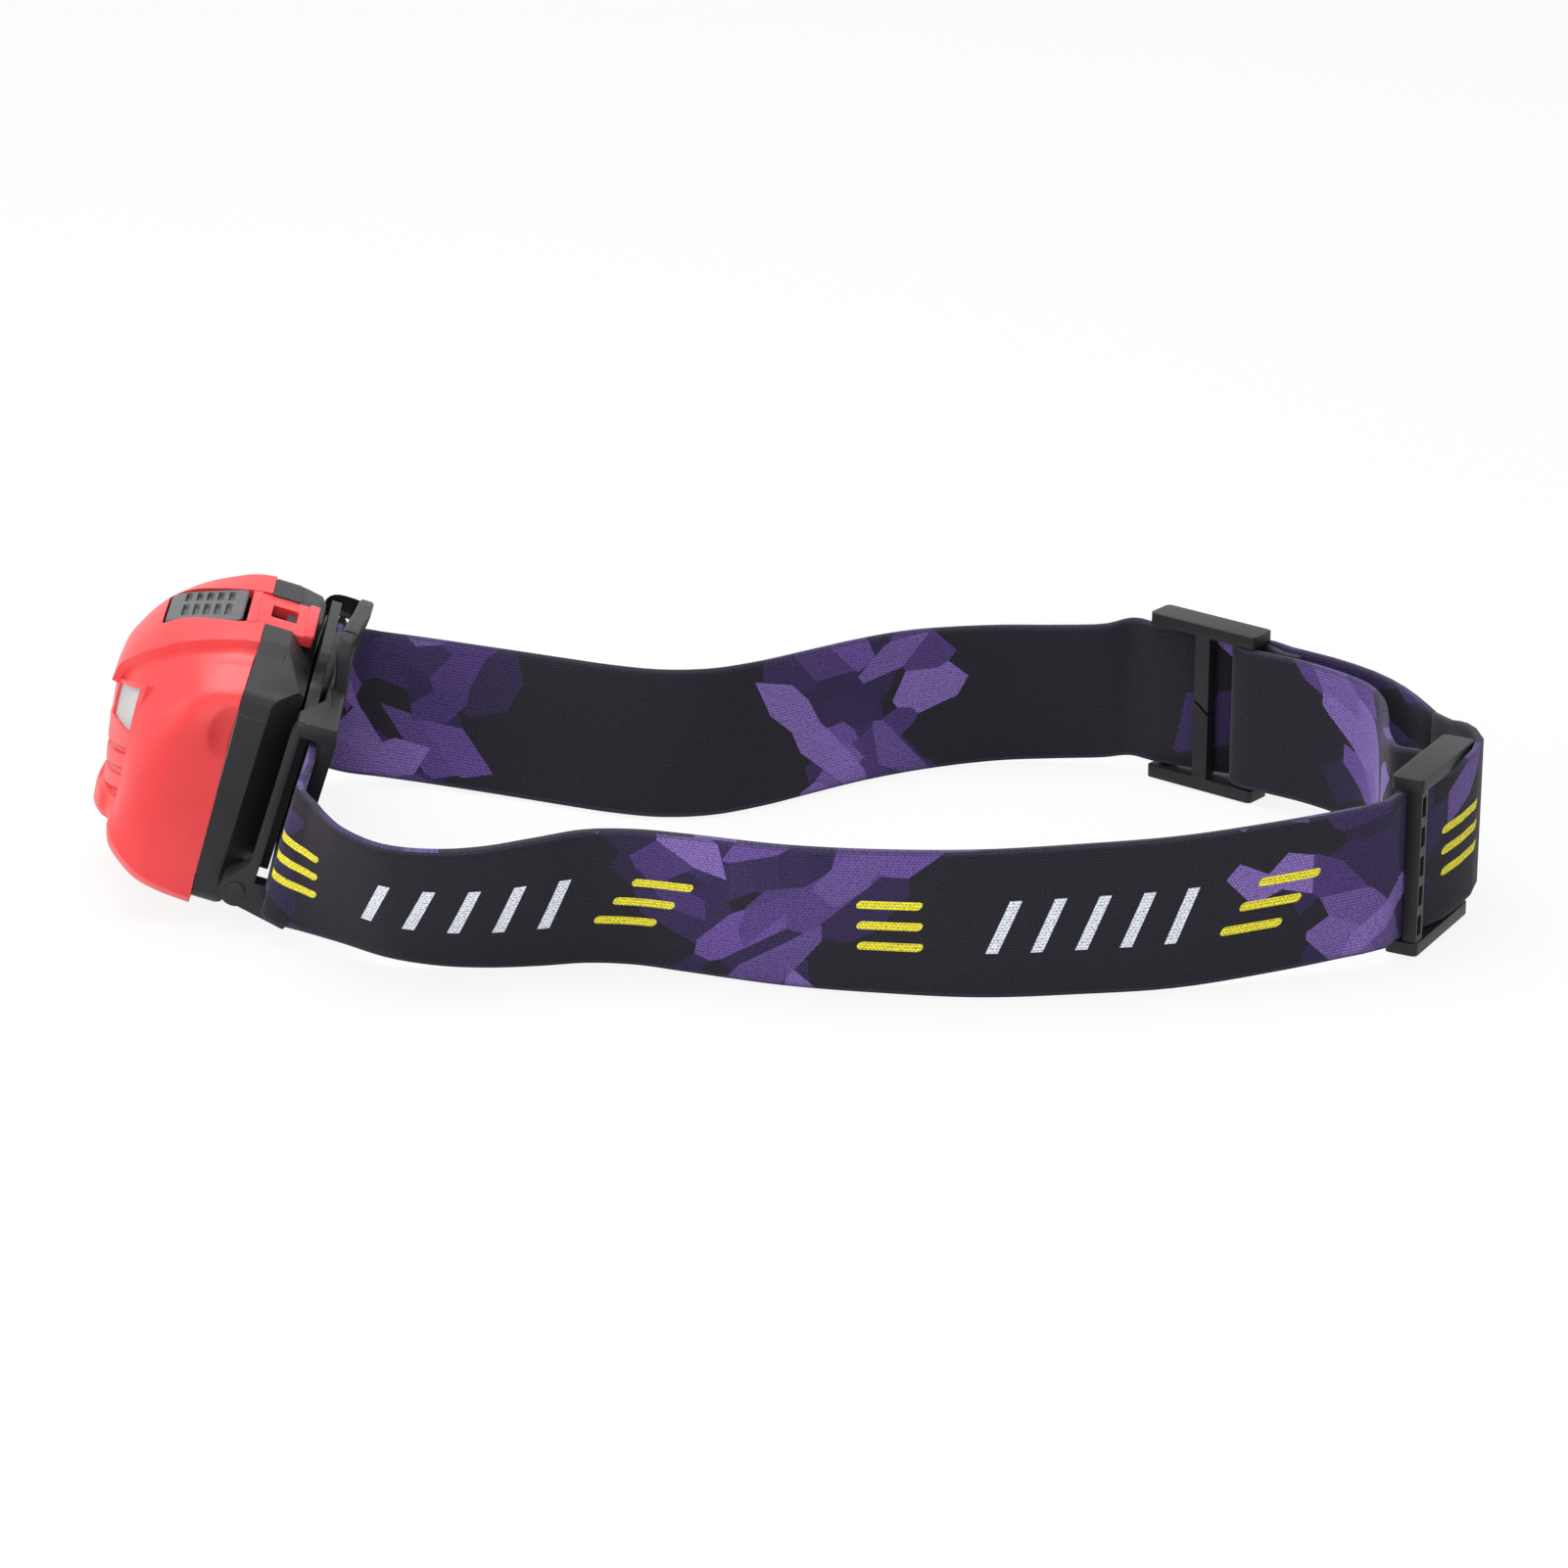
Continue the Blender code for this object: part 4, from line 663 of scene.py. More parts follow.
@dataclass(frozen=True)
class Plastic:
    """A moulded plastic finish.

    Attributes:
        name: name of the material.
        colour: linear colour.
        pale: linear colour of the faintly lighter clouds.
        roughness: mean roughness.
        spread: how much the roughness varies.
        grain: depth of the grain, in metres.
        grain_size: scale of the grain.
        soft: weight of light that enters the surface.
        shine: strength of its reflection.
    """

    name: str
    colour: Colour
    pale: Colour
    roughness: float
    spread: float
    grain: float
    grain_size: float = 2600.0
    soft: float = 0.0
    shine: float = 0.5

    def build(self, grain: Tree) -> Material:
        """Make the material.

        Args:
            grain: the shared group of moulded grain.

        Returns:
            The material.
        """
        made, graph, shader = new_material(self.name)
        place = graph.node("ShaderNodeTexCoord").outputs["Object"]
        skin = graph.group(grain, Place=place, Grain_Size=self.grain_size, Cloud_Size=55.0)
        cloud = graph.ramp(skin.outputs["Cloud"], 0.35, 0.7)
        graph.feed(shader.inputs["Base Color"], graph.mix(cloud, self.colour, self.pale))
        rough = graph.times(graph.minus(skin.outputs["Height"], 0.5), self.spread)
        graph.feed(shader.inputs["Roughness"], graph.plus(rough, self.roughness, clamp=True))
        shader.inputs["Specular IOR Level"].default_value = self.shine
        bump(graph, shader, skin.outputs["Height"], self.grain)
        if self.soft > 0.0:
            shader.inputs["Subsurface Weight"].default_value = self.soft
            shader.inputs["Subsurface Radius"].default_value = (1.0, 0.25, 0.2)
            shader.inputs["Subsurface Scale"].default_value = 0.0008
        return made


@dataclass(frozen=True)
class Metal:
    """A bare or plated metal finish.

    Attributes:
        name: name of the material.
        colour: linear colour.
        roughness: mean roughness.
        scratch: depth of the fine scratches, in metres.
    """

    name: str
    colour: Colour
    roughness: float
    scratch: float

    def build(self, grain: Tree) -> Material:
        """Make the material.

        Args:
            grain: the shared group of moulded grain.

        Returns:
            The material.
        """
        made, graph, shader = new_material(self.name)
        place = graph.node("ShaderNodeTexCoord").outputs["Object"]
        drawn = graph.node("ShaderNodeMapping")
        drawn.inputs["Scale"].default_value = (1.0, 0.08, 1.0)
        graph.feed(drawn.inputs["Vector"], place)
        skin = graph.group(grain, Place=drawn.outputs["Vector"], Grain_Size=2400.0, Cloud_Size=120.0)
        dull = [0.8 * part for part in self.colour]
        graph.feed(shader.inputs["Base Color"], graph.mix(skin.outputs["Cloud"], dull, self.colour))
        rough = graph.times(graph.minus(skin.outputs["Height"], 0.5), 0.2)
        graph.feed(shader.inputs["Roughness"], graph.plus(rough, self.roughness, clamp=True))
        shader.inputs["Metallic"].default_value = 1.0
        bump(graph, shader, skin.outputs["Height"], self.scratch)
        return made


@dataclass(frozen=True)
class ClearLens:
    """A clear moulded lens with faint ripples.

    Attributes:
        name: name of the material.
        tint: linear colour of the plastic.
        roughness: roughness of its faces.
    """

    name: str
    tint: Colour
    roughness: float

    def build(self, grain: Tree) -> Material:
        """Make the material.

        Args:
            grain: the shared group of moulded grain.

        Returns:
            The material.
        """
        made, graph, shader = new_material(self.name)
        place = graph.node("ShaderNodeTexCoord").outputs["Object"]
        skin = graph.group(grain, Place=place, Grain_Size=500.0, Cloud_Size=90.0)
        haze = [0.94 * part for part in self.tint]
        graph.feed(shader.inputs["Base Color"], graph.mix(skin.outputs["Cloud"], haze, self.tint))
        shader.inputs["Roughness"].default_value = self.roughness
        shader.inputs["Transmission Weight"].default_value = 0.55
        shader.inputs["IOR"].default_value = 1.49
        bump(graph, shader, skin.outputs["Height"], 0.00001)
        return made


def new_material(name: str) -> tuple[Material, Graph, Node]:
    """Start a Principled material.

    Args:
        name: name of the material.

    Returns:
        The material, its graph and its shader.
    """
    made = bpy.data.materials.new(name)
    made.use_nodes = True
    return made, Graph(made.node_tree), made.node_tree.nodes["Principled BSDF"]


def bump(graph: Graph, shader: Node, height: Socket, depth: float) -> None:
    """Give a shader a bumped surface.

    Args:
        graph: the material's graph.
        shader: its shader.
        height: height from 0 to 1.
        depth: what a height of 1 stands for, in metres.
    """
    made = graph.node("ShaderNodeBump")
    made.inputs["Strength"].default_value = 1.0
    made.inputs["Distance"].default_value = depth
    graph.feed(made.inputs["Height"], height)
    graph.feed(shader.inputs["Normal"], made.outputs["Normal"])


class Print(Enum):
    """What a face of the webbing carries."""

    PLAIN = "plain"
    STRIPED = "striped"


@dataclass(frozen=True)
class Webbing:
    """Knitted elastic webbing, dark, with a print of angular shards and painted shade and light on its
    knitted loops.

    Attributes:
        name: name of the material.
        face: which print the face carries.
        ground: linear colour of the undyed ground.
        violets: linear colours of the shards, dark to light.
        white: linear colour of the white bars.
        yellow: linear colour of the yellow strokes.
        period: distance between clusters of shards, in millimetres.
        start: how far the clusters are shifted along the strap.
        bars: where a row of white bars starts and ends in a period.
        bar_pitch, bar_wide, bar_half: distance between bars, a bar's width, half its height.
        stroke_at: middles of the two stacks of yellow strokes in a period.
        stroke_pitch, stroke_shift: distance between a stack's strokes, and how far each lies beyond the last.
        stroke_half: half a stroke's straight length.
        slant: how far bars and stacks lean per millimetre across.
    """

    HALF_WIDTH = 12.5

    name: str
    face: Print
    ground: Colour = (0.0125, 0.0105, 0.0185)
    violets: tuple[Colour, ...] = (
        (0.030, 0.018, 0.075), (0.066, 0.036, 0.165), (0.150, 0.082, 0.335), (0.23, 0.145, 0.45))
    white: Colour = (0.74, 0.77, 0.86)
    yellow: Colour = (0.78, 0.70, 0.045)
    period: float = 100.0
    start: float = 50.0
    bars: tuple[float, float] = (34.0, 69.0)
    bar_pitch: float = 7.0
    bar_wide: float = 1.9
    bar_half: float = 4.4
    stroke_at: tuple[float, float] = (80.0, 23.0)
    stroke_pitch: float = 3.6
    stroke_shift: float = 1.6
    stroke_half: float = 4.4
    slant: float = 0.42

    def build(self, knit: Tree) -> Material:
        """Make the material.

        Args:
            knit: the shared group of knitted loops.

        Returns:
            The material.
        """
        made, graph, shader = new_material(self.name)
        chart = graph.node("ShaderNodeUVMap", uv_map=Strap.CHART)
        parts = graph.node("ShaderNodeSeparateXYZ")
        graph.feed(parts.inputs[0], chart.outputs["UV"])
        along = graph.times(parts.outputs[0], Strap.CHART_SPAN / MM)
        across = graph.times(parts.outputs[1], Strap.CHART_SPAN / MM)
        loops = graph.group(knit, Along=along, Across=across, Loop_Length=0.62, Loop_Width=0.5)
        colour = self.shards(graph, along, across)
        if self.face is Print.STRIPED:
            colour = self.strokes(graph, along, across, colour)
        edge = graph.math("ABSOLUTE", graph.minus(across, self.HALF_WIDTH))
        selvedge = graph.times(graph.ramp(edge, 11.6, 12.1), 0.5)
        colour = graph.mix(selvedge, colour, (0.05, 0.048, 0.075))
        # Painted shade and light of the knit: darker between the loops, lighter on their tops, scaling the
        # print's brightness.
        shade = graph.ramp(loops.outputs["Shade"], 0.25, 1.05, 0.36, 1.55)
        value = graph.node("ShaderNodeHueSaturation")
        graph.feed(value.inputs["Value"], shade)
        graph.feed(value.inputs["Color"], colour)
        graph.feed(shader.inputs["Base Color"], value.outputs["Color"])
        shader.inputs["Roughness"].default_value = 0.82
        shader.inputs["Sheen Weight"].default_value = 0.1
        shader.inputs["Sheen Roughness"].default_value = 0.4
        shader.inputs["Specular IOR Level"].default_value = 0.3
        bump(graph, shader, loops.outputs["Height"], 0.00008)
        return made

    def shards(self, graph: Graph, along: Socket, across: Socket) -> Socket:
        """Clusters of slanted shards in violets over the ground.

        Args:
            graph: the material's graph.
            along: millimetres along the strap.
            across: millimetres across it.

        Returns:
            The colour's socket.
        """
        colour: Value | Sequence[float] = self.ground
        # Length, height, slant, reach of a cluster, cover, shift and tone of each layer
        layers = ((12.0, 9.0, -0.55, 25.0, 0.5, 0.0, 1), (8.0, 9.0, 0.75, 20.0, 0.85, 4.0, 2),
                  (7.5, 6.0, -0.7, 13.0, 0.9, -6.0, 3), (6.5, 9.0, 0.8, 10.0, 0.85, 8.0, 3))
        for length, height, lean, reach, share, shift, tone in layers:
            slid = graph.plus(along, graph.times(across, lean))
            cell = graph.node("ShaderNodeCombineXYZ")
            graph.feed(cell.inputs[0], graph.math("DIVIDE", slid, length))
            graph.feed(cell.inputs[1], graph.plus(graph.math("DIVIDE", across, height), 7.3 * tone))
            shard = graph.node("ShaderNodeTexVoronoi", voronoi_dimensions="2D", distance="EUCLIDEAN")
            shard.inputs["Scale"].default_value = 1.0
            shard.inputs["Randomness"].default_value = 0.8
            graph.feed(shard.inputs["Vector"], cell.outputs[0])
            middle = graph.node("ShaderNodeSeparateXYZ")
            graph.feed(middle.inputs[0], shard.outputs["Position"])
            centre = graph.times(middle.outputs[0], length)
            start = 0.5 * self.period + self.start + shift - self.HALF_WIDTH * lean
            turn = graph.plus(centre, start)
            place = graph.minus(graph.math("FLOORED_MODULO", turn, self.period), 0.5 * self.period)
            near = graph.minus(1.0, graph.math("DIVIDE", graph.math("ABSOLUTE", place), reach))
            tones = graph.node("ShaderNodeSeparateColor")
            graph.feed(tones.inputs[0], shard.outputs["Color"])
            shown = graph.math("GREATER_THAN", graph.times(near, 0.85), tones.outputs[0])
            pair = self.violets[max(tone - 2, 0)], self.violets[tone]
            lit = graph.mix(graph.ramp(tones.outputs[1], 0.2, 0.8), *pair)
            colour = graph.mix(graph.times(shown, share), colour, lit)
        return colour

    def strokes(self, graph: Graph, along: Socket, across: Socket, colour: Socket) -> Socket:
        """White slanted bars and yellow strokes over a coloured ground.

        Args:
            graph: the material's graph.
            along: millimetres along the strap.
            across: millimetres across it.
            colour: the ground's colour.

        Returns:
            The new colour's socket.
        """
        slid = graph.plus(along, graph.times(across, self.slant))
        turn = graph.math("FLOORED_MODULO", graph.plus(slid, self.start), self.period)
        past = graph.math("GREATER_THAN", turn, self.bars[0])
        inside = graph.times(past, graph.math("LESS_THAN", turn, self.bars[1]))
        beat = graph.math("LESS_THAN", graph.math("FLOORED_MODULO", turn, self.bar_pitch), self.bar_wide)
        reach = graph.math("LESS_THAN", graph.math("ABSOLUTE", graph.minus(across, 12.0)), self.bar_half)
        bars = graph.times(graph.times(inside, beat), reach)
        colour = graph.mix(bars, colour, self.white)
        for index in range(3):
            height = graph.math("ABSOLUTE", graph.minus(across, 8.4 + self.stroke_pitch * index))
            shift = self.stroke_shift * index
            for middle in (self.stroke_at[0] + shift, self.stroke_at[1] - shift):
                place = graph.math("ABSOLUTE", graph.minus(turn, middle))
                over = graph.math("MAXIMUM", graph.minus(place, self.stroke_half), 0.0)
                square = graph.times(over, over)
                away = graph.plus(square, graph.times(height, height))
                colour = graph.mix(graph.math("LESS_THAN", away, 0.5), colour, self.yellow)
        return colour


RED = Plastic("red_plastic", (0.86, 0.042, 0.048), (0.93, 0.058, 0.062), 0.38, 0.12, 0.000012, 3200.0, 0.15)
BLACK = Plastic("black_plastic", (0.012, 0.012, 0.014), (0.019, 0.019, 0.022), 0.5, 0.25, 0.00004, 1900.0,
                shine=0.36)
BUCKLE = Plastic("buckle_plastic", (0.009, 0.009, 0.011), (0.014, 0.014, 0.016), 0.45, 0.18, 0.000018,
                 shine=0.32)
RUBBER = Plastic("button_rubber", (0.105, 0.105, 0.112), (0.135, 0.135, 0.142), 0.62, 0.2, 0.00003, 2200.0)
SLEEVE = Plastic("cell_sleeve", (0.05, 0.08, 0.22), (0.07, 0.11, 0.28), 0.3, 0.1, 0.000006, 1500.0)
PHOSPHOR = Plastic("led_phosphor", (0.80, 0.68, 0.16), (0.86, 0.76, 0.24), 0.35, 0.1, 0.000006, 1500.0)
MASK = Plastic("solder_mask", (0.014, 0.12, 0.045), (0.02, 0.16, 0.06), 0.35, 0.15, 0.000008, 1500.0)
SWITCH = Plastic("switch_body", (0.02, 0.02, 0.021), (0.03, 0.03, 0.032), 0.4, 0.2, 0.00001, 2000.0)
STEEL = Metal("steel", (0.60, 0.60, 0.58), 0.32, 0.000006)
MIRROR = Metal("reflector", (0.86, 0.86, 0.86), 0.14, 0.000002)
LENS = ClearLens("clear_lens", (0.92, 0.94, 0.96), 0.06)
WEBBING_OUTER = Webbing("webbing_outer", Print.STRIPED)
WEBBING_INNER = Webbing("webbing_inner", Print.PLAIN, period=90.0, start=35.0)


@dataclass
class Palette:
    """Every material of the headlamp, made once.

    Attributes:
        made: the materials by name.
    """

    made: dict[str, Material] = field(default_factory=dict)

    def mix_all(self) -> None:
        """Make every material from its finish."""
        grain = grain_group()
        knit = knit_group()
        for finish in (RED, BLACK, BUCKLE, RUBBER, SLEEVE, PHOSPHOR, MASK, SWITCH, STEEL, MIRROR, LENS):
            self.made[finish.name] = finish.build(grain)
        for finish in (WEBBING_OUTER, WEBBING_INNER):
            self.made[finish.name] = finish.build(knit)

    def dress(self, piece: Piece, *finishes: Plastic | Metal | ClearLens | Webbing) -> None:
        """Put finishes on a piece in place of what it had.

        Args:
            piece: the object to dress.
            finishes: what it gets, in order.
        """
        piece.data.materials.clear()
        for finish in finishes:
            piece.data.materials.append(self.made[finish.name])


NODE_FINISHES: dict[str, Plastic | Metal | ClearLens] = {
    "battery_cell": SLEEVE, "contact_plate": STEEL, "contact_spring": STEEL, "cover_hinge_pin": STEEL,
    "tilt_pin": STEEL, "lens": LENS, "reflector": MIRROR, "led_": PHOSPHOR, "circuit_board": MASK,
    "board_screw": STEEL, "plate_screw": STEEL, "tact_switch": SWITCH, "inner_plate": BLACK,
    "front_cover": RED, "latch_tab": RED, "mode_button": RUBBER, "rear_housing": BLACK,
    "mount_bracket": BLACK, "slide_buckle": BUCKLE, "head_strap": BUCKLE,
}


def dress_nodes(nodes: dict[str, Piece], palette: Palette) -> None:
    """Give every CAD node the finish of its kind.

    Args:
        nodes: the frame's objects by name.
        palette: the materials.
    """
    for name, node in nodes.items():
        for start, finish in NODE_FINISHES.items():
            if name.startswith(start):
                palette.dress(node, finish)
                break


# Strap


def buckle_point(at: tuple[float, float], turn: float, along: float, out: float) -> tuple[float, float]:
    """A place in a buckle's plan.

    Args:
        at: the buckle's middle.
        turn: its direction.
        along: distance along the strap towards the rear.
        out: distance out from the loop.

    Returns:
        The place's x and y.
    """
    side = 1 if at[1] > 0 else -1
    x = at[0] + along * math.cos(turn) - side * out * math.sin(turn)
    y = at[1] + along * math.sin(turn) + side * out * math.cos(turn)
    return x, y


@dataclass
class Strap:
    """The webbing in six lengths: a band round the head and an inner link, threaded through bracket and
    buckles.

    Attributes:
        width: width of the webbing.
        thickness: its thickness.
        lift: height of its lower edge in a buckle.
        core: radius of a buckle's rear bar with the webbing's half thickness.
        core_along: place of that bar along the strap.
        turn_reach: how far before that bar the far turn starts.
        step: distance between a route's sampled places.
        rows: steps across the webbing.
        near_at, near_turn: the near buckle's middle in plan, and its direction.
        far_at, far_turn: the same of the far buckle.
        ear_line: how far behind the tilt axis the webbing passes the ears.
        ear_inner, ear_outer: an ear's faces, from the middle.
        ear_low: height of the webbing's lower edge in an ear.
    """

    CHART = "webbing"
    CHART_SPAN = 0.75

    width: float = 0.0250
    thickness: float = 0.0011
    lift: float = 0.0024
    core: float = 0.0020
    core_along: float = 0.00915
    turn_reach: float = 0.0036
    step: float = 0.0009
    rows: int = 12
    near_at: tuple[float, float] = (0.1027, -0.0320)
    near_turn: float = math.radians(61.0)
    far_at: tuple[float, float] = (0.0723, 0.0332)
    far_turn: float = math.radians(-39.1)
    ear_line: float = 0.0049
    ear_inner: float = 0.0280
    ear_outer: float = 0.0315
    ear_low: float = 0.0023

    def free(self, run: Sequence[tuple[float, float, float, float]], side: Side) -> list[Vector]:
        """Stations of a free run: lower edge and the way up across the webbing.

        Args:
            run: x, y, height and outward lean in degrees.
            side: side that the run leans to.

        Returns:
            Stations as x, y, z, lean x, lean y.
        """
        made = []
        for x, y, z, lean in run:
            made.append(Vector((x, y, z, 0.0, side.value * math.sin(math.radians(lean)))))
        return made

    def in_buckle(self, side: Side, steps: Sequence[Sequence[float]]) -> list[Vector]:
        """Upright stations in a buckle.

        Args:
            side: which buckle.
            steps: places along the strap and out from the loop, with any rise.

        Returns:
            The stations.
        """
        at, turn = (self.near_at, self.near_turn) if side is Side.NEAR else (self.far_at, self.far_turn)
        made = []
        for along, out, *rise in steps:
            x, y = buckle_point(at, turn, along, out)
            made.append(Vector((x, y, self.lift + sum(rise), 0.0, 0.0)))
        return made

    def turn_back(self) -> list[tuple[float, float]]:
        """The inner link's turn about the far buckle's rear bar.

        Returns:
            Steps along the strap and out from the loop.
        """
        steps = []
        for step in range(9):
            angle = math.pi / 2 + math.pi * step / 8
            steps.append((self.core_along + self.turn_reach * math.cos(angle), self.core * math.sin(angle)))
        return steps

    def in_ears(self) -> list[Vector]:
        """Stations through both ears and behind the plate, from the near side to the far.

        Returns:
            The stations.
        """
        turn = Matrix.Rotation(LAMP_LEAN, 3, "Y")
        made = [Vector(place) for place in reversed(EAR_NEAR)]
        for y in (-self.ear_outer, -self.ear_inner, 0.0, self.ear_inner, self.ear_outer):
            place = turn @ Vector((self.ear_line, y, self.ear_low)) + TILT_AXIS - ROUTE_SHIFT
            made.append(Vector((*place, math.sin(LAMP_LEAN), 0.0)))
        return made + [Vector(place) for place in EAR_FAR]

    def band(self) -> list[Vector]:
        """The band from midway behind the head, round by the near side, the ears and the far side.

        Returns:
            The stations.
        """
        stations = self.free(OUTER_RUN[4:], Side.FAR)
        stations += list(reversed(self.in_buckle(Side.NEAR, THROUGH_NEAR)))
        stations += list(reversed(self.free(NEAR_RUN, Side.NEAR)))
        stations += self.in_ears()
        stations += self.free(FAR_RUN, Side.FAR)
        stations += self.in_buckle(Side.FAR, THROUGH_FAR)
        return stations + self.free(OUTER_RUN[:5], Side.FAR)

    def link(self) -> list[Vector]:
        """The inner link from the far buckle's rear bar to the near one's."""
        stations = self.in_buckle(Side.FAR, list(TAIL_FAR) + self.turn_back())
        return stations + self.free(INNER_RUN, Side.FAR) + self.in_buckle(Side.NEAR, LINK_NEAR)

    def sampled(self, stations: Sequence[Vector]) -> list[Vector]:
        """A route as evenly stepped places.

        Args:
            stations: the route's stations.

        Returns:
            The places.
        """
        knots = [0.0]
        for before, after in zip(stations, stations[1:]):
            reach = Vector(after[:3]) - Vector(before[:3])
            knots.append(knots[-1] + math.sqrt(reach.length))
        fine = []
        for index in range(len(stations) - 1):
            for step in range(12):
                fine.append(on_curve(stations, knots, index, step / 12))
        fine.append(stations[-1])
        length = sum((Vector(b[:3]) - Vector(a[:3])).length for a, b in zip(fine, fine[1:]))
        return evenly(fine, math.ceil(length / self.step) + 1)

    def marks(self, places: Sequence[Vector], goals: Sequence[Vector]) -> list[int]:
        """Where a route is parted.

        Args:
            places: the sampled route.
            goals: places in plan that it is parted nearest to.

        Returns:
            Indexes of the parting places with both ends.
        """
        found = [0]
        for goal in goals:
            found.append(min(range(len(places)), key=lambda i, g=goal: (Vector(places[i][:2]) - g).length))
        return [*found, len(places) - 1]

    def ribbon(self, name: str, places: Sequence[Vector], start: float,
               palette: Palette) -> tuple[Piece, float]:
        """One length of webbing as a closed thin mesh with its chart of places along and across.

        Args:
            name: name of the object.
            places: its sampled route.
            start: how far along the whole strap it begins.
            palette: the materials.

        Returns:
            The object and its length.
        """
        rest_mode()
        bpy.ops.mesh.primitive_grid_add(x_subdivisions=len(places) - 1, y_subdivisions=self.rows, size=1.0)
        piece = bpy.context.object
        piece.name = name
        mesh = piece.data
        reach = [0.0]
        for before, after in zip(places, places[1:]):
            reach.append(reach[-1] + (Vector(after[:3]) - Vector(before[:3])).length)
        count = len(places)
        for index, vertex in enumerate(mesh.vertices):
            column = index % count
            share = (index // count) / self.rows
            place = places[column]
            lean = Vector((place[3], place[4], 0.0))
            up = lean + Vector((0.0, 0.0, math.sqrt(1.0 - lean.length_squared)))
            vertex.co = Vector(place[:3]) + up * self.width * share + ROUTE_SHIFT
        chart = mesh.uv_layers[0]
        chart.name = self.CHART
        for loop in mesh.loops:
            column = loop.vertex_index % count
            share = (loop.vertex_index // count) / self.rows
            chart.data[loop.index].uv = ((start + reach[column]) / self.CHART_SPAN,
                                         share * self.width / self.CHART_SPAN)
        palette.dress(piece, WEBBING_INNER, WEBBING_OUTER)
        finish_with(piece, "SOLIDIFY", thickness=self.thickness, offset=0.0, use_even_offset=True,
                    material_offset=1)
        finish_with(piece, "BEVEL", width=0.00028, segments=2, limit_method="ANGLE",
                    angle_limit=math.radians(60.0))
        smooth(piece, 40.0)
        return piece, reach[-1]

    def build(self, palette: Palette) -> None:
        """Make the six lengths and dress them.

        Args:
            palette: the materials.
        """
        near = Vector(buckle_point(self.near_at, self.near_turn, *THROUGH_NEAR[1]))
        far = Vector(buckle_point(self.far_at, self.far_turn, *THROUGH_FAR[3]))
        plate = Vector(self.in_ears()[len(EAR_NEAR) + 2][:2])
        start = 0.0
        for stations, goals, lengths in ((self.link(), [Vector(INNER_RUN[5][:2])], LENGTHS[:2]),
                                         (self.band(), [near, plate, far], LENGTHS[2:])):
            places = self.sampled(stations)
            parted = self.marks(places, goals)
            for (name, body, ramp), first, last in zip(lengths, parted, parted[1:]):
                piece, length = self.ribbon(name, places[first:last + 1], start, palette)
                start += length
                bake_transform(piece)
                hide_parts("head_strap")
                LOG.info("%s: %.1f mm", name, length / MM)


# Places of the strap's lower edge: x, y, height and outward lean in degrees
NEAR_RUN = (
    (-0.0620, -0.0456, 0.0014, 24.0), (-0.0540, -0.0464, 0.0004, 22.5),
    (-0.0464, -0.0462, 0.0, 20.0), (-0.0387, -0.0456, 0.0, 16.0), (-0.0310, -0.0444, 0.0, 12.5),
    (-0.0233, -0.0452, 0.0, 11.0), (-0.0155, -0.0480, 0.0, 9.5), (0.0000, -0.0535, 0.0, 8.0),
    (0.0152, -0.0566, 0.0, 6.0), (0.0304, -0.0584, 0.0, 2.5), (0.0457, -0.0572, 0.0, 0.0),
    (0.0610, -0.0552, 0.0002, -2.0), (0.0768, -0.0506, 0.0010, -1.0), (0.0868, -0.0474, 0.0018, 0.0),
)
FAR_RUN = (
    (-0.0698, 0.0344, 0.0012, 20.0), (-0.0620, 0.0332, 0.0005, 21.0), (-0.0540, 0.0309, 0.0001, 22.0),
    (-0.0458, 0.0276, 0.0, 22.0), (-0.0375, 0.0239, 0.0, 20.0), (-0.0290, 0.0204, 0.0, 17.0),
    (-0.0208, 0.0184, 0.0, 14.0), (-0.0125, 0.0193, 0.0, 11.0), (-0.0042, 0.0234, 0.0, 9.0),
    (0.0041, 0.0292, 0.0, 8.0), (0.0125, 0.0351, 0.0, 7.0), (0.0210, 0.0398, 0.0, 6.0),
    (0.0296, 0.0434, 0.0, 1.5), (0.0380, 0.0452, 0.0002, -2.0), (0.0465, 0.0450, 0.0006, -4.0),
    (0.0550, 0.0434, 0.0014, -4.0),
)
INNER_RUN = (
    (0.0830, 0.0226, 0.0024, 0.0), (0.0880, 0.0194, 0.0022, 0.0), (0.0930, 0.0155, 0.0018, 0.0),
    (0.0968, 0.0108, 0.0015, 0.0), (0.0984, 0.0050, 0.0012, 0.0), (0.0984, -0.0010, 0.0012, 0.0),
    (0.0978, -0.0080, 0.0014, 0.0), (0.0976, -0.0140, 0.0018, 0.0), (0.0984, -0.0200, 0.0022, 0.0),
)
OUTER_RUN = (
    (0.0913, 0.0226, 0.0022, 0.0), (0.0976, 0.0178, 0.0016, 0.0), (0.1016, 0.0126, 0.0012, 0.0),
    (0.1043, 0.0068, 0.0009, 0.0), (0.1065, -0.0005, 0.0008, 0.0), (0.1083, -0.0080, 0.0022, 0.0),
    (0.1093, -0.0135, 0.0040, 0.0), (0.1100, -0.0180, 0.0050, 0.0),
)
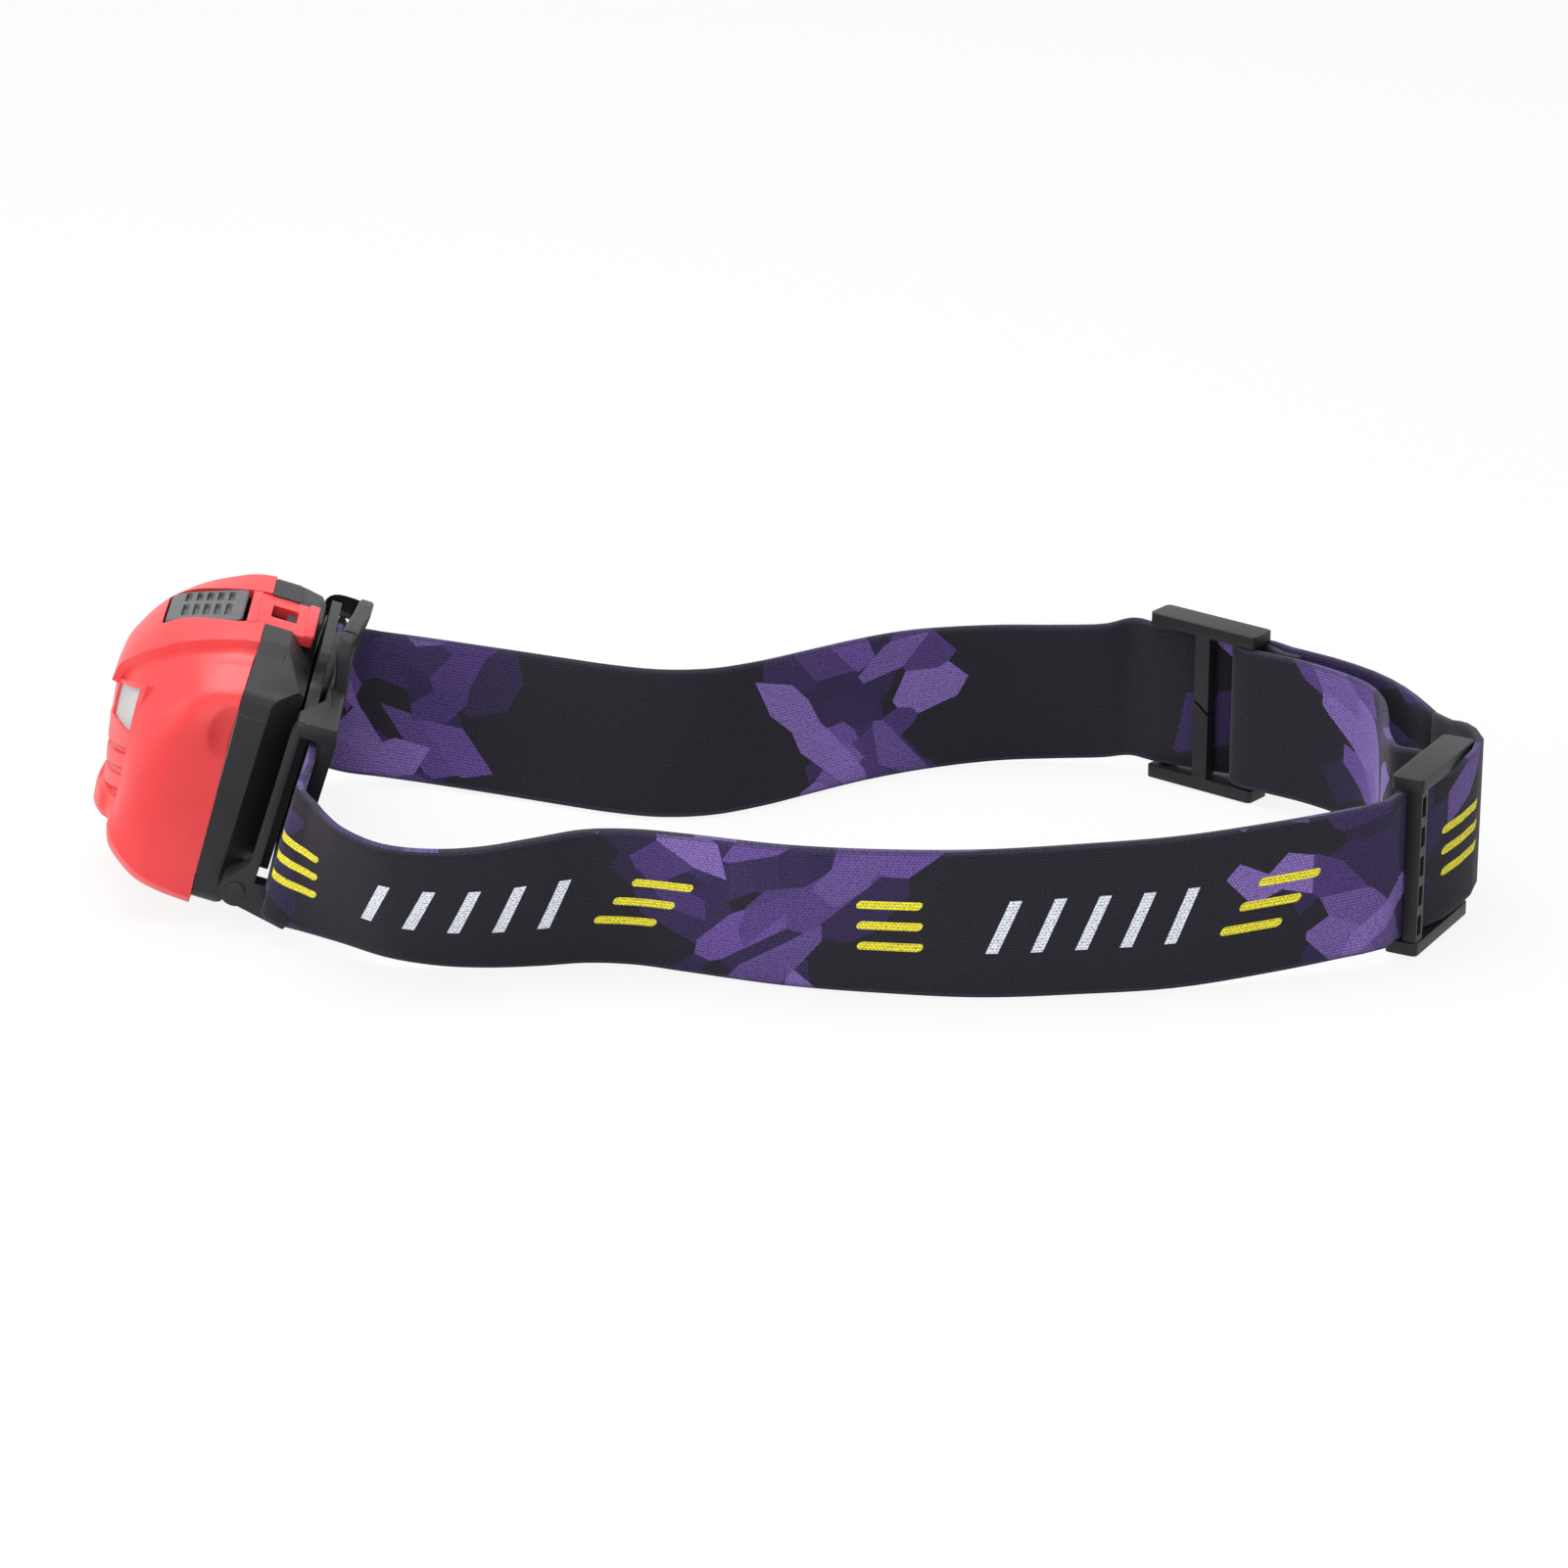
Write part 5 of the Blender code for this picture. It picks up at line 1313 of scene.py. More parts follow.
# Steps of the strap's way through a buckle: along it and out from the loop
THROUGH_NEAR = ((-0.0150, -0.0012), (-0.00925, -0.0010), (-0.0046, 0.0005), (0.0, 0.0021, 0.0002),
                (0.0045, 0.0032, 0.0010), (0.00915, 0.0037, 0.0021), (0.0130, 0.0025, 0.0026))
THROUGH_FAR = ((-0.0150, -0.0012), (-0.00925, -0.0010), (-0.0046, 0.0002), (0.0, 0.0011), (0.0045, 0.0025),
               (0.0091, 0.0039), (0.01435, 0.0032))
TAIL_FAR = ((0.0180, 0.00045), (0.0155, 0.00015), (0.0135, 0.0006), (0.0113, 0.0016))
LINK_NEAR = ((0.0080, -0.0060), (0.0073, -0.0030), (0.0071, -0.0005), (0.0077, 0.0014), (0.00915, 0.0020),
             (0.0106, 0.0014), (0.0112, 0.0), (0.0106, -0.0016), (0.0097, -0.0034), (0.0095, -0.0052))
# The strap's turn out of each ear: lower edge, and the way across the webbing towards the head and outwards
EAR_NEAR = (
    (-0.0822, -0.03325, 0.0060, 0.305, -0.03), (-0.08265, -0.03425, 0.00475, 0.29, -0.07),
    (-0.08275, -0.0350, 0.0038, 0.27, -0.12), (-0.0809, -0.0362, 0.00315, 0.24, -0.18),
    (-0.0784, -0.03675, 0.0027, 0.20, -0.25), (-0.0753, -0.0383, 0.0025, 0.14, -0.32),
    (-0.06975, -0.04175, 0.0023, 0.05, -0.39),
)
EAR_FAR = (
    (-0.0819, 0.0326, 0.0062, 0.30, 0.02), (-0.0808, 0.0336, 0.0046, 0.27, 0.06),
    (-0.0786, 0.0341, 0.0031, 0.20, 0.14), (-0.0750, 0.0342, 0.0020, 0.10, 0.25),
)
# Names, moving ends and the stretch over which each length gives way to its buckle
LENGTHS = (
    ("strap_inner_far", Body.BUCKLE_FAR, ((0.0984, -0.0010, 0.0), (0.0880, 0.0194, 0.0))),
    ("strap_inner_near", Body.BUCKLE_NEAR, ((0.0984, -0.0010, 0.0), (0.0984, -0.0200, 0.0))),
    ("strap_outer_near", Body.BUCKLE_NEAR, ((0.1065, -0.0005, 0.0), (0.1096, -0.0185, 0.0))),
    ("strap_near_run", Body.BUCKLE_NEAR, ((0.0457, -0.0572, 0.0), (0.0868, -0.0474, 0.0))),
    ("strap_far_run", Body.BUCKLE_FAR, ((0.0210, 0.0398, 0.0), (0.0550, 0.0434, 0.0))),
    ("strap_outer_far", Body.BUCKLE_FAR, ((0.1065, -0.0005, 0.0), (0.0913, 0.0226, 0.0))),
)


# Lamp cover


@dataclass
class Cover:
    """The red front cover: a domed shell, the ribbed front between its cheeks, and the hinge tongue.

    All sizes are in millimetres in the lamp's frame.

    Attributes:
        wall: thickness of the shell.
        rows: steps from the parting line to the front rim.
        rim: rounding of the rims.
        hood_step: drop of the step beside the hood, and how far out its foot lies.
        scallop_at, scallop_radius, scallop_depth: the finger scallop's x and height, and its size.
        cheek_from: how far out the cheeks start.
        front_half, front_wall: half the front's width, and its thickness.
        front_behind: what its wall gains behind the grooves.
        front_rows: places from the chin to the hood's tip.
        sill: height of the windows' lower edge.
        pillar_half, pane_half: where the side windows start and end across.
        eye_height: height of the round window's middle.
        groove_at, groove_half, groove_depth: heights of the grooves, half a groove's width, its depth.
        groove_end: how far out the grooves reach.
        lobe_at, lobe_half, lobe_out: the chin lobe's height, half its size, and how far it stands out.
        bow: how far the front falls back per square across.
    """

    wall: float = 1.4
    rows: int = 64
    rim: float = 0.25
    hood_step: tuple[float, float] = (1.55, 0.15)
    scallop_at: tuple[float, float] = (-7.0, 23.6)
    scallop_radius: float = 4.7
    scallop_depth: float = 1.5
    cheek_from: float = 22.0
    front_half: float = 18.4
    front_wall: float = 1.3
    front_behind: float = 0.9
    front_rows: int = 110
    sill: float = 13.3
    pillar_half: float = 7.4
    pane_half: float = 16.9
    eye_height: float = 12.6
    groove_at: tuple[float, ...] = (6.8, 3.0, -0.7)
    groove_half: float = 0.75
    groove_depth: float = 0.85
    groove_end: float = 17.6
    lobe_at: float = -3.0
    lobe_half: tuple[float, float] = (11.0, 3.2)
    lobe_out: float = 0.9
    bow: float = 0.0150

    def hood_centre(self) -> list[Point]:
        """Places down the middle of the hood, from the parting line to its tip."""
        return [(x, 0.0, z) for x, z, _, _ in HOOD]

    def hood_line(self, share: float) -> list[Point]:
        """Places on the hood at a share of its half width, on the near side.

        Args:
            share: 0 at the middle, 1 at the hood's edge.

        Returns:
            The places.
        """
        made = []
        for x, z, half, fall in HOOD:
            y = share * half
            made.append((x, -y, z - fall * y * y))
        return made

    def hood_foot(self) -> list[Point]:
        """Places at the foot of the step beside the hood.

        Returns:
            The places.
        """
        edge = self.hood_line(1.0)
        made = []
        for index, place in enumerate(edge):
            before = Vector(edge[max(index - 1, 0)])
            after = Vector(edge[min(index + 1, len(edge) - 1)])
            way = after - before
            inward = Vector((-way.z, 0.0, way.x)).normalized()
            foot = Vector(place) + self.hood_step[0] * inward + Vector((0.0, -self.hood_step[1], 0.0))
            made.append(tuple(foot))
        return made

    def sections(self) -> list[tuple[list[list[Point]], int, bool]]:
        """The near half's guide lines in groups that are smooth across, from the hood to the bottom.

        Returns:
            Groups of guide lines, each with its count of columns and whether it is a step.
        """
        edge = self.hood_line(1.0)
        foot = self.hood_foot()
        return [
            ([self.hood_centre(), self.hood_line(0.5), edge], 14, False),
            ([edge, foot], 4, True),
            ([foot, BAND, SHOULDER_FOOT], 12, False),
            ([SHOULDER_FOOT, SHOULDER_EDGE], 4, True),
            ([SHOULDER_EDGE, SHOULDER_TOP, SHOULDER_TURN, *CHEEK], 72, False),
            ([CHEEK[-1], UNDER_EDGE, UNDER_MIDDLE, UNDER_CENTRE], 18, False),
        ]

    def columns(self) -> list[list[Vector]]:
        """Lines of the near half from the hood's middle to the bottom's middle, each from parting to rim.

        Returns:
            The lines.
        """
        made: list[list[Vector]] = []
        for guides, count, is_step in self.sections():
            lines = [spline(guide, self.rows + 1) for guide in guides]
            for column in range(count + 1):
                if made and column == 0:
                    continue
                share = column / count
                line = []
                for row in range(self.rows + 1):
                    across = [guide[row] for guide in lines]
                    place = self.step_between(across, share) if is_step else self.smooth_across(across, share)
                    line.append(to_parting(place, *COVER_PARTING))
                made.append(line)
        return made

    def step_between(self, across: Sequence[Vector], share: float) -> Vector:
        """A place on a step between two lines, its edges close together."""
        return across[0].lerp(across[1], 0.5 + 0.5 * math.copysign(abs(2 * share - 1) ** 0.35, 2 * share - 1))

    def smooth_across(self, across: Sequence[Vector], share: float) -> Vector:
        """A place on a smooth curve across guide lines.

        Args:
            across: the places of the lines in one row.
            share: how far across them.

        Returns:
            The place.
        """
        knots = [0.0]
        for before, after in zip(across, across[1:]):
            knots.append(knots[-1] + max((after - before).length, 1e-6))
        goal = knots[-1] * share
        index = 0
        while index < len(across) - 2 and knots[index + 1] < goal:
            index += 1
        t = (goal - knots[index]) / (knots[index + 1] - knots[index])
        return on_curve(across, knots, index, t)

    def dented(self, place: Vector) -> Vector:
        """A cheek place pushed in where the finger scallop is.

        Args:
            place: a place of the shell.

        Returns:
            The place, pushed in or as it was.
        """
        if abs(place.y) < self.cheek_from:
            return place
        away = Vector((place.x - self.scallop_at[0], place.z - self.scallop_at[1]))
        off = away.length / self.scallop_radius
        if off >= 1.0:
            return place
        push = self.scallop_depth * (1.0 - off * off)
        return place + Vector((0.0, math.copysign(push, -place.y), 0.0))

    def shell(self) -> Piece:
        """The domed shell as a closed wall with a rounded rim.

        Returns:
            The shell.
        """
        half = [[self.dented(place) for place in line] for line in self.columns()]
        ring = [[Vector((p.x, -p.y, p.z)) for p in line] for line in reversed(half[1:])] + half[:-1]
        backs = set_back(ring, self.wall, 4)
        middle = sum((line[0] for line in ring), Vector()) / len(ring)
        if (backs[0][0] - middle).length > (ring[0][0] - middle).length:
            backs = set_back(ring, -self.wall, 4)
        piece = grid_piece("cover_shell", ring, backs, True)
        return finish_with(piece, "BEVEL", width=self.rim, segments=3, limit_method="ANGLE",
                           angle_limit=math.radians(62.0))

    def front_place(self, y: float, low: float, z: float) -> Vector:
        """A place of the front between the cheeks.

        Args:
            y: across the lamp.
            low: the front's x at the middle, before grooves and lobe.
            z: height at the middle.

        Returns:
            The place.
        """
        share = abs(y) / 16.5
        lift = 5.0 * share ** 1.3
        if z > self.sill:
            foot = self.sill + 0.3 * lift
            top = HOOD_TIP[1] + 0.3 + 5.6 * share ** 1.3
            z = foot + (z - self.sill) * (top - foot) / (HOOD_TIP[1] + 0.3 - self.sill)
        elif z > 6.6:
            z += lift * (1.0 - 0.7 * (z - 6.6) / (self.sill - 6.6))
        else:
            under = min(1.0, max(0.0, (low + 24.6) / 1.8))
            z += (1.0 - under) * lift * (1.0 - 0.035 * max(0.0, -1.0 - z)) + under * 1.6 * share ** 2.5
        return Vector((low + self.bow * y * y, y, z))

    def relief(self, y: float, z: float) -> float:
        """How far the front is set back (+) or stands out (-) for grooves and the chin lobe.

        Args:
            y: across the lamp.
            z: height at the middle.

        Returns:
            The distance along x.
        """
        depth = 0.0
        for at in self.groove_at:
            off = abs(z - at) / self.groove_half
            if off < 1.0:
                fade = min(1.0, max(0.0, (self.groove_end - abs(y)) / 0.8))
                depth += self.groove_depth * (1.0 - off ** 4) * fade
        lobe = (y / self.lobe_half[0]) ** 4 + (abs(z - self.lobe_at) / self.lobe_half[1]) ** 2.6
        if lobe < 1.0:
            stand = min(1.0, (1.0 - lobe) * 1.6)
            share = stand * stand * (3 - 2 * stand)
            depth = depth * (1 - share) - self.lobe_out * share
        return depth

    def front(self) -> Piece:
        """The ribbed front with two side windows and a round one in the pillar between them.

        Returns:
            The front.
        """
        heights = spline(FRONT_PROFILE, self.front_rows)
        far_marks = [self.pillar_half, self.pane_half, self.front_half]
        marks = [-mark for mark in reversed(far_marks)] + far_marks
        spots: list[float] = []
        for a, b in zip(marks, marks[1:]):
            count = max(2, round((b - a) / 0.5))
            spots += [a + (b - a) * step / count for step in range(count)]
        spots.append(marks[-1])
        sill_row = min(range(len(heights)), key=lambda i: abs(heights[i].y - self.sill))
        top_row = len(heights) - 3
        lines, backs = [], []
        for y in spots:
            line, back = [], []
            for index, profile in enumerate(heights):
                place = self.front_place(y, profile.x, profile.y)
                way = (heights[min(index + 1, self.front_rows - 1)] - heights[max(index - 1, 0)]).normalized()
                back.append(place + Vector((way.y, 0.0, -way.x)) * (self.front_wall + self.front_behind))
                if profile.x < -24.0:
                    place.x += self.relief(y, profile.y)
                if abs(y) < self.pillar_half and profile.y > self.sill:
                    place.x += 0.15
                line.append(place)
            lines.append(line)
            backs.append(back)
        holes = []
        for column, (a, b) in enumerate(zip(spots, spots[1:])):
            middle = abs(a + b) / 2
            if self.pillar_half < middle < self.pane_half:
                holes += [(column, row) for row in range(sill_row, top_row)]
        piece = grid_piece("cover_front", lines, backs, False, set(holes))
        return cut(piece, pin("centre_bore", Axis.X, (-26.0, 0.0, self.eye_height), 4.3, 12.0, 48))

    def tongue(self) -> Piece:
        """The hinge tongue with its barrel round the hinge pin.

        Returns:
            The tongue.
        """
        piece = block("cover_tongue", (-11.5, -9.0, -8.0), (-5.2, 9.0, -5.2), 0.5)
        barrel = pin("barrel", Axis.Y, (-5.1, 0.0, -6.9), 1.42, 18.0, 40, 0.25)
        piece = join(piece, barrel)
        return cut(piece, pin("pin_bore", Axis.Y, (-5.1, 0.0, -6.9), 0.78, 30.0, 32))

    def build(self, palette: Palette) -> None:
        """Make the cover's pieces, dress them and hang them on the cover.

        Args:
            palette: the materials.
        """
        shell = self.shell()
        cut(shell, slab("button_pocket", Axis.Z, rounded([
            (-23.55, -6.75, 1.3), (-10.7, -7.95, 1.0), (-10.7, 7.95, 1.0), (-23.55, 6.75, 1.3)]), 24.0, 40.0))
        cut(shell, block("tab_notch", (-9.3, -7.65, 30.0), (-4.0, 7.65, 40.0)))
        for side in Side:
            middle = 7.5 * side.value
            cut(shell, block("tab_slit", (-11.6, middle - 0.15, 30.0), (-4.0, middle + 0.15, 40.0)))
        for piece, angle in ((shell, 30.0), (self.front(), 45.0), (self.tongue(), 40.0)):
            set_in_place(smooth(piece, angle), LAMP_PLACE)
            palette.dress(piece, RED)
            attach(piece, Body.COVER.value)
            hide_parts("front_cover")
            report(piece)


def to_parting(place: Vector, at: float, fade: float) -> Vector:
    """A place moved along x with the slanting line where cover and housing meet.

    Args:
        place: the place, drawn for a straight parting line.
        at: x where the full shift holds.
        fade: x where it ends.

    Returns:
        The moved place.
    """
    hold = min(1.0, max(0.0, (place.x - fade) / (at - fade)))
    shift = PARTING[-1][1]
    for (z0, s0), (z1, s1) in zip(PARTING, PARTING[1:]):
        if place.z <= z0:
            shift = s0 + (s1 - s0) * min(1.0, (z0 - place.z) / (z0 - z1))
    return place + Vector((hold * shift, 0.0, 0.0))


# Height and shift of the parting line, from the top down
PARTING = ((36.5, -0.4), (33.0, -0.6), (30.0, -0.7), (20.0, -0.4), (9.0, 0.1), (0.0, 0.4), (-7.0, 0.8))
# Where its full shift holds and where it ends, along x
COVER_PARTING = (-7.3, -13.5)
HOUSING_PARTING = (-6.8, -4.2)


def grid_piece(name: str, lines: Sequence[Sequence[Vector]], backs: Sequence[Sequence[Vector]], is_ring: bool,
               holes: set[tuple[int, int]] | None = None) -> Piece:
    """A closed wall between two grids of places.

    Args:
        name: name of the object.
        lines: lines of places on the outer face, each as long as the next.
        backs: the same for the inner face.
        is_ring: whether the last line joins the first.
        holes: cells that are left open, by line and row.

    Returns:
        The new closed object.
    """
    rows, count = len(lines[0]), len(lines)
    total = rows * count
    faces = []
    for column in range(count if is_ring else count - 1):
        for row in range(rows - 1):
            if holes and (column, row) in holes:
                continue
            here, beside = column * rows + row, (column + 1) % count * rows + row
            faces.append((here, beside, beside + 1, here + 1))
    edges = {(face[i], face[(i + 1) % 4]) for face in faces for i in range(4)}
    inner = [tuple(index + total for index in reversed(face)) for face in faces]
    walls = [(b, a, a + total, b + total) for a, b in sorted(edges) if (b, a) not in edges]
    mesh = bpy.data.meshes.new(name)
    places = [place for line in lines for place in line] + [place for line in backs for place in line]
    mesh.from_pydata(places, [], faces + inner + walls)
    piece = bpy.data.objects.new(name, mesh)
    bpy.context.scene.collection.objects.link(piece)
    activate(piece)
    bpy.ops.object.mode_set(mode="EDIT")
    bpy.ops.mesh.select_all(action="SELECT")
    bpy.ops.mesh.delete_loose()
    bpy.ops.mesh.select_all(action="SELECT")
    bpy.ops.mesh.normals_make_consistent(inside=False)
    if bmesh.from_edit_mesh(mesh).calc_volume(signed=True) < 0.0:
        bpy.ops.mesh.flip_normals()
    bpy.ops.object.mode_set(mode="OBJECT")
    return piece


def set_back(lines: Sequence[Sequence[Vector]], wall: float, spread: int) -> list[list[Vector]]:
    """The inner face of a ring-shaped wall, with the outer face's small steps evened out.

    Args:
        lines: the outer face's lines, the last beside the first.
        wall: thickness.
        spread: how many lines on each side even out a line's direction.

    Returns:
        The inner face's lines.
    """
    count, rows = len(lines), len(lines[0])
    ways = []
    for column in range(count):
        way = []
        for row in range(rows):
            along = lines[column][min(row + 2, rows - 1)] - lines[column][max(row - 2, 0)]
            across = lines[(column + spread) % count][row] - lines[column - spread][row]
            way.append(along.cross(across).normalized())
        ways.append(way)
    made = []
    for column in range(count):
        line = []
        for row in range(rows):
            even = Vector()
            for beside in range(-spread, spread + 1):
                even += ways[(column + beside) % count][row]
            line.append(lines[column][row] + even.normalized() * wall)
        made.append(line)
    return made


# The hood from the parting line to its tip: x, height at the middle, half width, fall per square across
HOOD = (
    (-7.3, 36.25, 16.2, 0.0002), (-10.0, 35.93, 16.2, 0.0005), (-12.0, 35.5, 16.1, 0.0011),
    (-14.1, 35.15, 15.7, 0.0030), (-16.2, 34.75, 15.2, 0.0055), (-18.3, 34.3, 14.7, 0.0088),
    (-20.4, 33.65, 13.9, 0.0133), (-22.5, 32.4, 13.2, 0.0173), (-24.6, 30.2, 11.8, 0.0200),
    (-26.6, 27.0, 9.6, 0.0233), (-28.1, 23.2, 7.2, 0.0180), (-28.7, 17.8, 5.4, -0.0240),
)
HOOD_TIP = (-28.7, 17.8)
# Guide lines of the near half, each from the parting line to the front rim
BAND = ((-7.3, -18.2, 34.2), (-12.0, -17.8, 33.1), (-16.0, -17.0, 31.3), (-20.0, -15.7, 28.5),
        (-22.0, -14.6, 26.5), (-24.0, -13.0, 24.0), (-25.6, -12.0, 20.9))
SHOULDER_FOOT = ((-7.3, -20.0, 32.8), (-12.0, -19.6, 31.7), (-16.0, -19.0, 29.8), (-18.0, -18.4, 28.4),
                 (-20.0, -17.7, 26.5), (-22.0, -16.8, 24.0), (-23.2, -16.2, 22.3))
SHOULDER_EDGE = ((-7.3, -20.6, 33.5), (-12.0, -20.2, 32.5), (-16.0, -19.7, 30.7), (-18.0, -19.1, 29.3),
                 (-20.1, -18.4, 27.4), (-22.2, -17.5, 24.9), (-23.6, -16.9, 22.2))
SHOULDER_TOP = ((-7.3, -23.4, 32.0), (-12.0, -23.1, 30.9), (-15.0, -22.6, 29.6), (-18.0, -21.7, 27.2),
                (-20.3, -20.5, 24.7), (-22.2, -19.0, 22.2), (-23.6, -17.6, 19.6))
SHOULDER_TURN = ((-7.3, -26.0, 30.0), (-11.0, -25.9, 29.2), (-14.0, -25.6, 27.9), (-16.2, -25.1, 26.3),
                 (-18.2, -24.3, 24.1), (-20.2, -22.8, 21.6), (-22.2, -20.4, 18.6), (-23.6, -18.0, 16.4))
CHEEK = (
    ((-7.3, -27.1, 27.3), (-12.0, -27.0, 26.0), (-15.0, -26.6, 24.5), (-17.5, -25.6, 22.2),
     (-19.8, -23.8, 19.2), (-21.7, -21.3, 16.2), (-23.3, -18.1, 13.4)),
    ((-7.3, -27.2, 18.0), (-13.0, -27.2, 17.0), (-16.5, -26.6, 15.8), (-19.5, -24.6, 14.0),
     (-21.6, -21.6, 12.2), (-23.0, -18.1, 10.4)),
    ((-7.3, -27.2, 9.0), (-13.0, -27.2, 8.6), (-16.5, -26.6, 8.2), (-19.5, -24.5, 7.6),
     (-21.4, -21.6, 7.0), (-22.7, -18.1, 6.4)),
    ((-7.3, -27.2, 0.6), (-13.0, -27.2, 0.7), (-16.5, -26.5, 1.0), (-19.4, -24.3, 1.6),
     (-21.4, -21.4, 2.0), (-22.5, -18.2, 2.3)),
    ((-7.3, -26.9, -5.3), (-12.0, -26.8, -4.9), (-16.3, -26.1, -3.9), (-19.7, -24.2, -2.3),
     (-21.8, -21.4, -1.0), (-22.8, -18.6, -0.4)),
)
UNDER_EDGE = ((-7.3, -25.6, -6.5), (-12.0, -25.4, -6.2), (-16.3, -24.6, -5.4), (-19.5, -22.6, -4.1),
              (-21.6, -20.2, -2.9), (-22.4, -18.0, -2.2))
UNDER_MIDDLE = ((-7.3, -13.0, -6.5), (-12.0, -13.0, -6.4), (-16.0, -12.6, -6.0), (-19.0, -11.8, -5.4),
                (-21.0, -11.0, -4.9), (-22.4, -10.3, -4.5))
UNDER_CENTRE = ((-7.3, 0.0, -6.5), (-12.0, 0.0, -6.4), (-16.0, 0.0, -6.2), (-19.0, 0.0, -5.8),
                (-21.0, 0.0, -5.4), (-22.6, 0.0, -5.2))
# The front between the cheeks at its middle: x and height, from under the chin up to the hood's tip
FRONT_PROFILE = ((-21.4, -4.2), (-23.0, -4.9), (-24.4, -4.9), (-25.2, -4.0), (-25.5, -2.0), (-25.7, 1.0),
                 (-26.0, 3.2), (-26.4, 5.3), (-26.9, 8.0), (-27.3, 10.2), (-27.7, 12.5), (-28.0, 15.5),
                 (-28.1, 18.0))


@dataclass
class Lens:
    """The clear lens: a flange behind the front and a raised pane in each window.

    Attributes:
        flange: thickness of the flange.
        sink: how far a pane lies behind the front's face.
        gap: room round each pane.
        face: x of the front's face at the sill.
        lean: how far the face comes forward above it.
        high: the height over which it does.
    """

    flange: float = 0.9
    sink: float = 0.35
    gap: float = 0.12
    face: float = -27.75
    lean: float = 0.35
    high: float = 4.7

    def pane(self, name: str, cover: Cover, spans: tuple[float, float], sink: float, wall: float,
             low: float, high: float) -> Piece:
        """A bowed plate that follows the front.

        Args:
            name: name of the object.
            cover: the cover it fits.
            spans: its ends across the lamp.
            sink: how far it lies behind the front's face.
            wall: its thickness.
            low: lower edge at the middle.
            high: upper edge at the middle.

        Returns:
            The plate.
        """
        lines = []
        for step in range(25):
            y = spans[0] + (spans[1] - spans[0]) * step / 24
            line = []
            for row in range(17):
                z = low + (high - low) * row / 16
                rise = min(1.0, max(0.0, (z - cover.sill) / self.high))
                x = self.face - self.lean * rise ** 0.8
                line.append(cover.front_place(y, x, z) + Vector((sink, 0.0, 0.0)))
            lines.append(line)
        backs = [[place + Vector((wall, 0.0, 0.0)) for place in line] for line in lines]
        return grid_piece(name, lines, backs, False)

    def build(self, palette: Palette, cover: Cover) -> None:
        """Make the lens and hang it on the cover.

        Args:
            palette: the materials.
            cover: the cover it fits.
        """
        inner, outer = cover.pillar_half + self.gap, cover.pane_half - self.gap
        back = cover.front_wall + cover.front_behind
        piece = self.pane("lens_panes", cover, (-17.6, 17.6), back + 0.2, self.flange, 12.6, 17.6)
        for spans in ((-outer, -inner), (inner, outer)):
            raised = self.pane("raised", cover, spans, self.sink, back + 0.3, cover.sill + self.gap, 17.7)
            piece = join(piece, raised)
        piece = join(piece, pin("eye", Axis.X, (-25.3, 0.0, cover.eye_height), 4.1, 2.6, 48, 0.3))
        set_in_place(smooth(piece, 40.0), LAMP_PLACE)
        palette.dress(piece, LENS)
        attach(piece, Body.COVER.value)
        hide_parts("lens")
        report(piece)


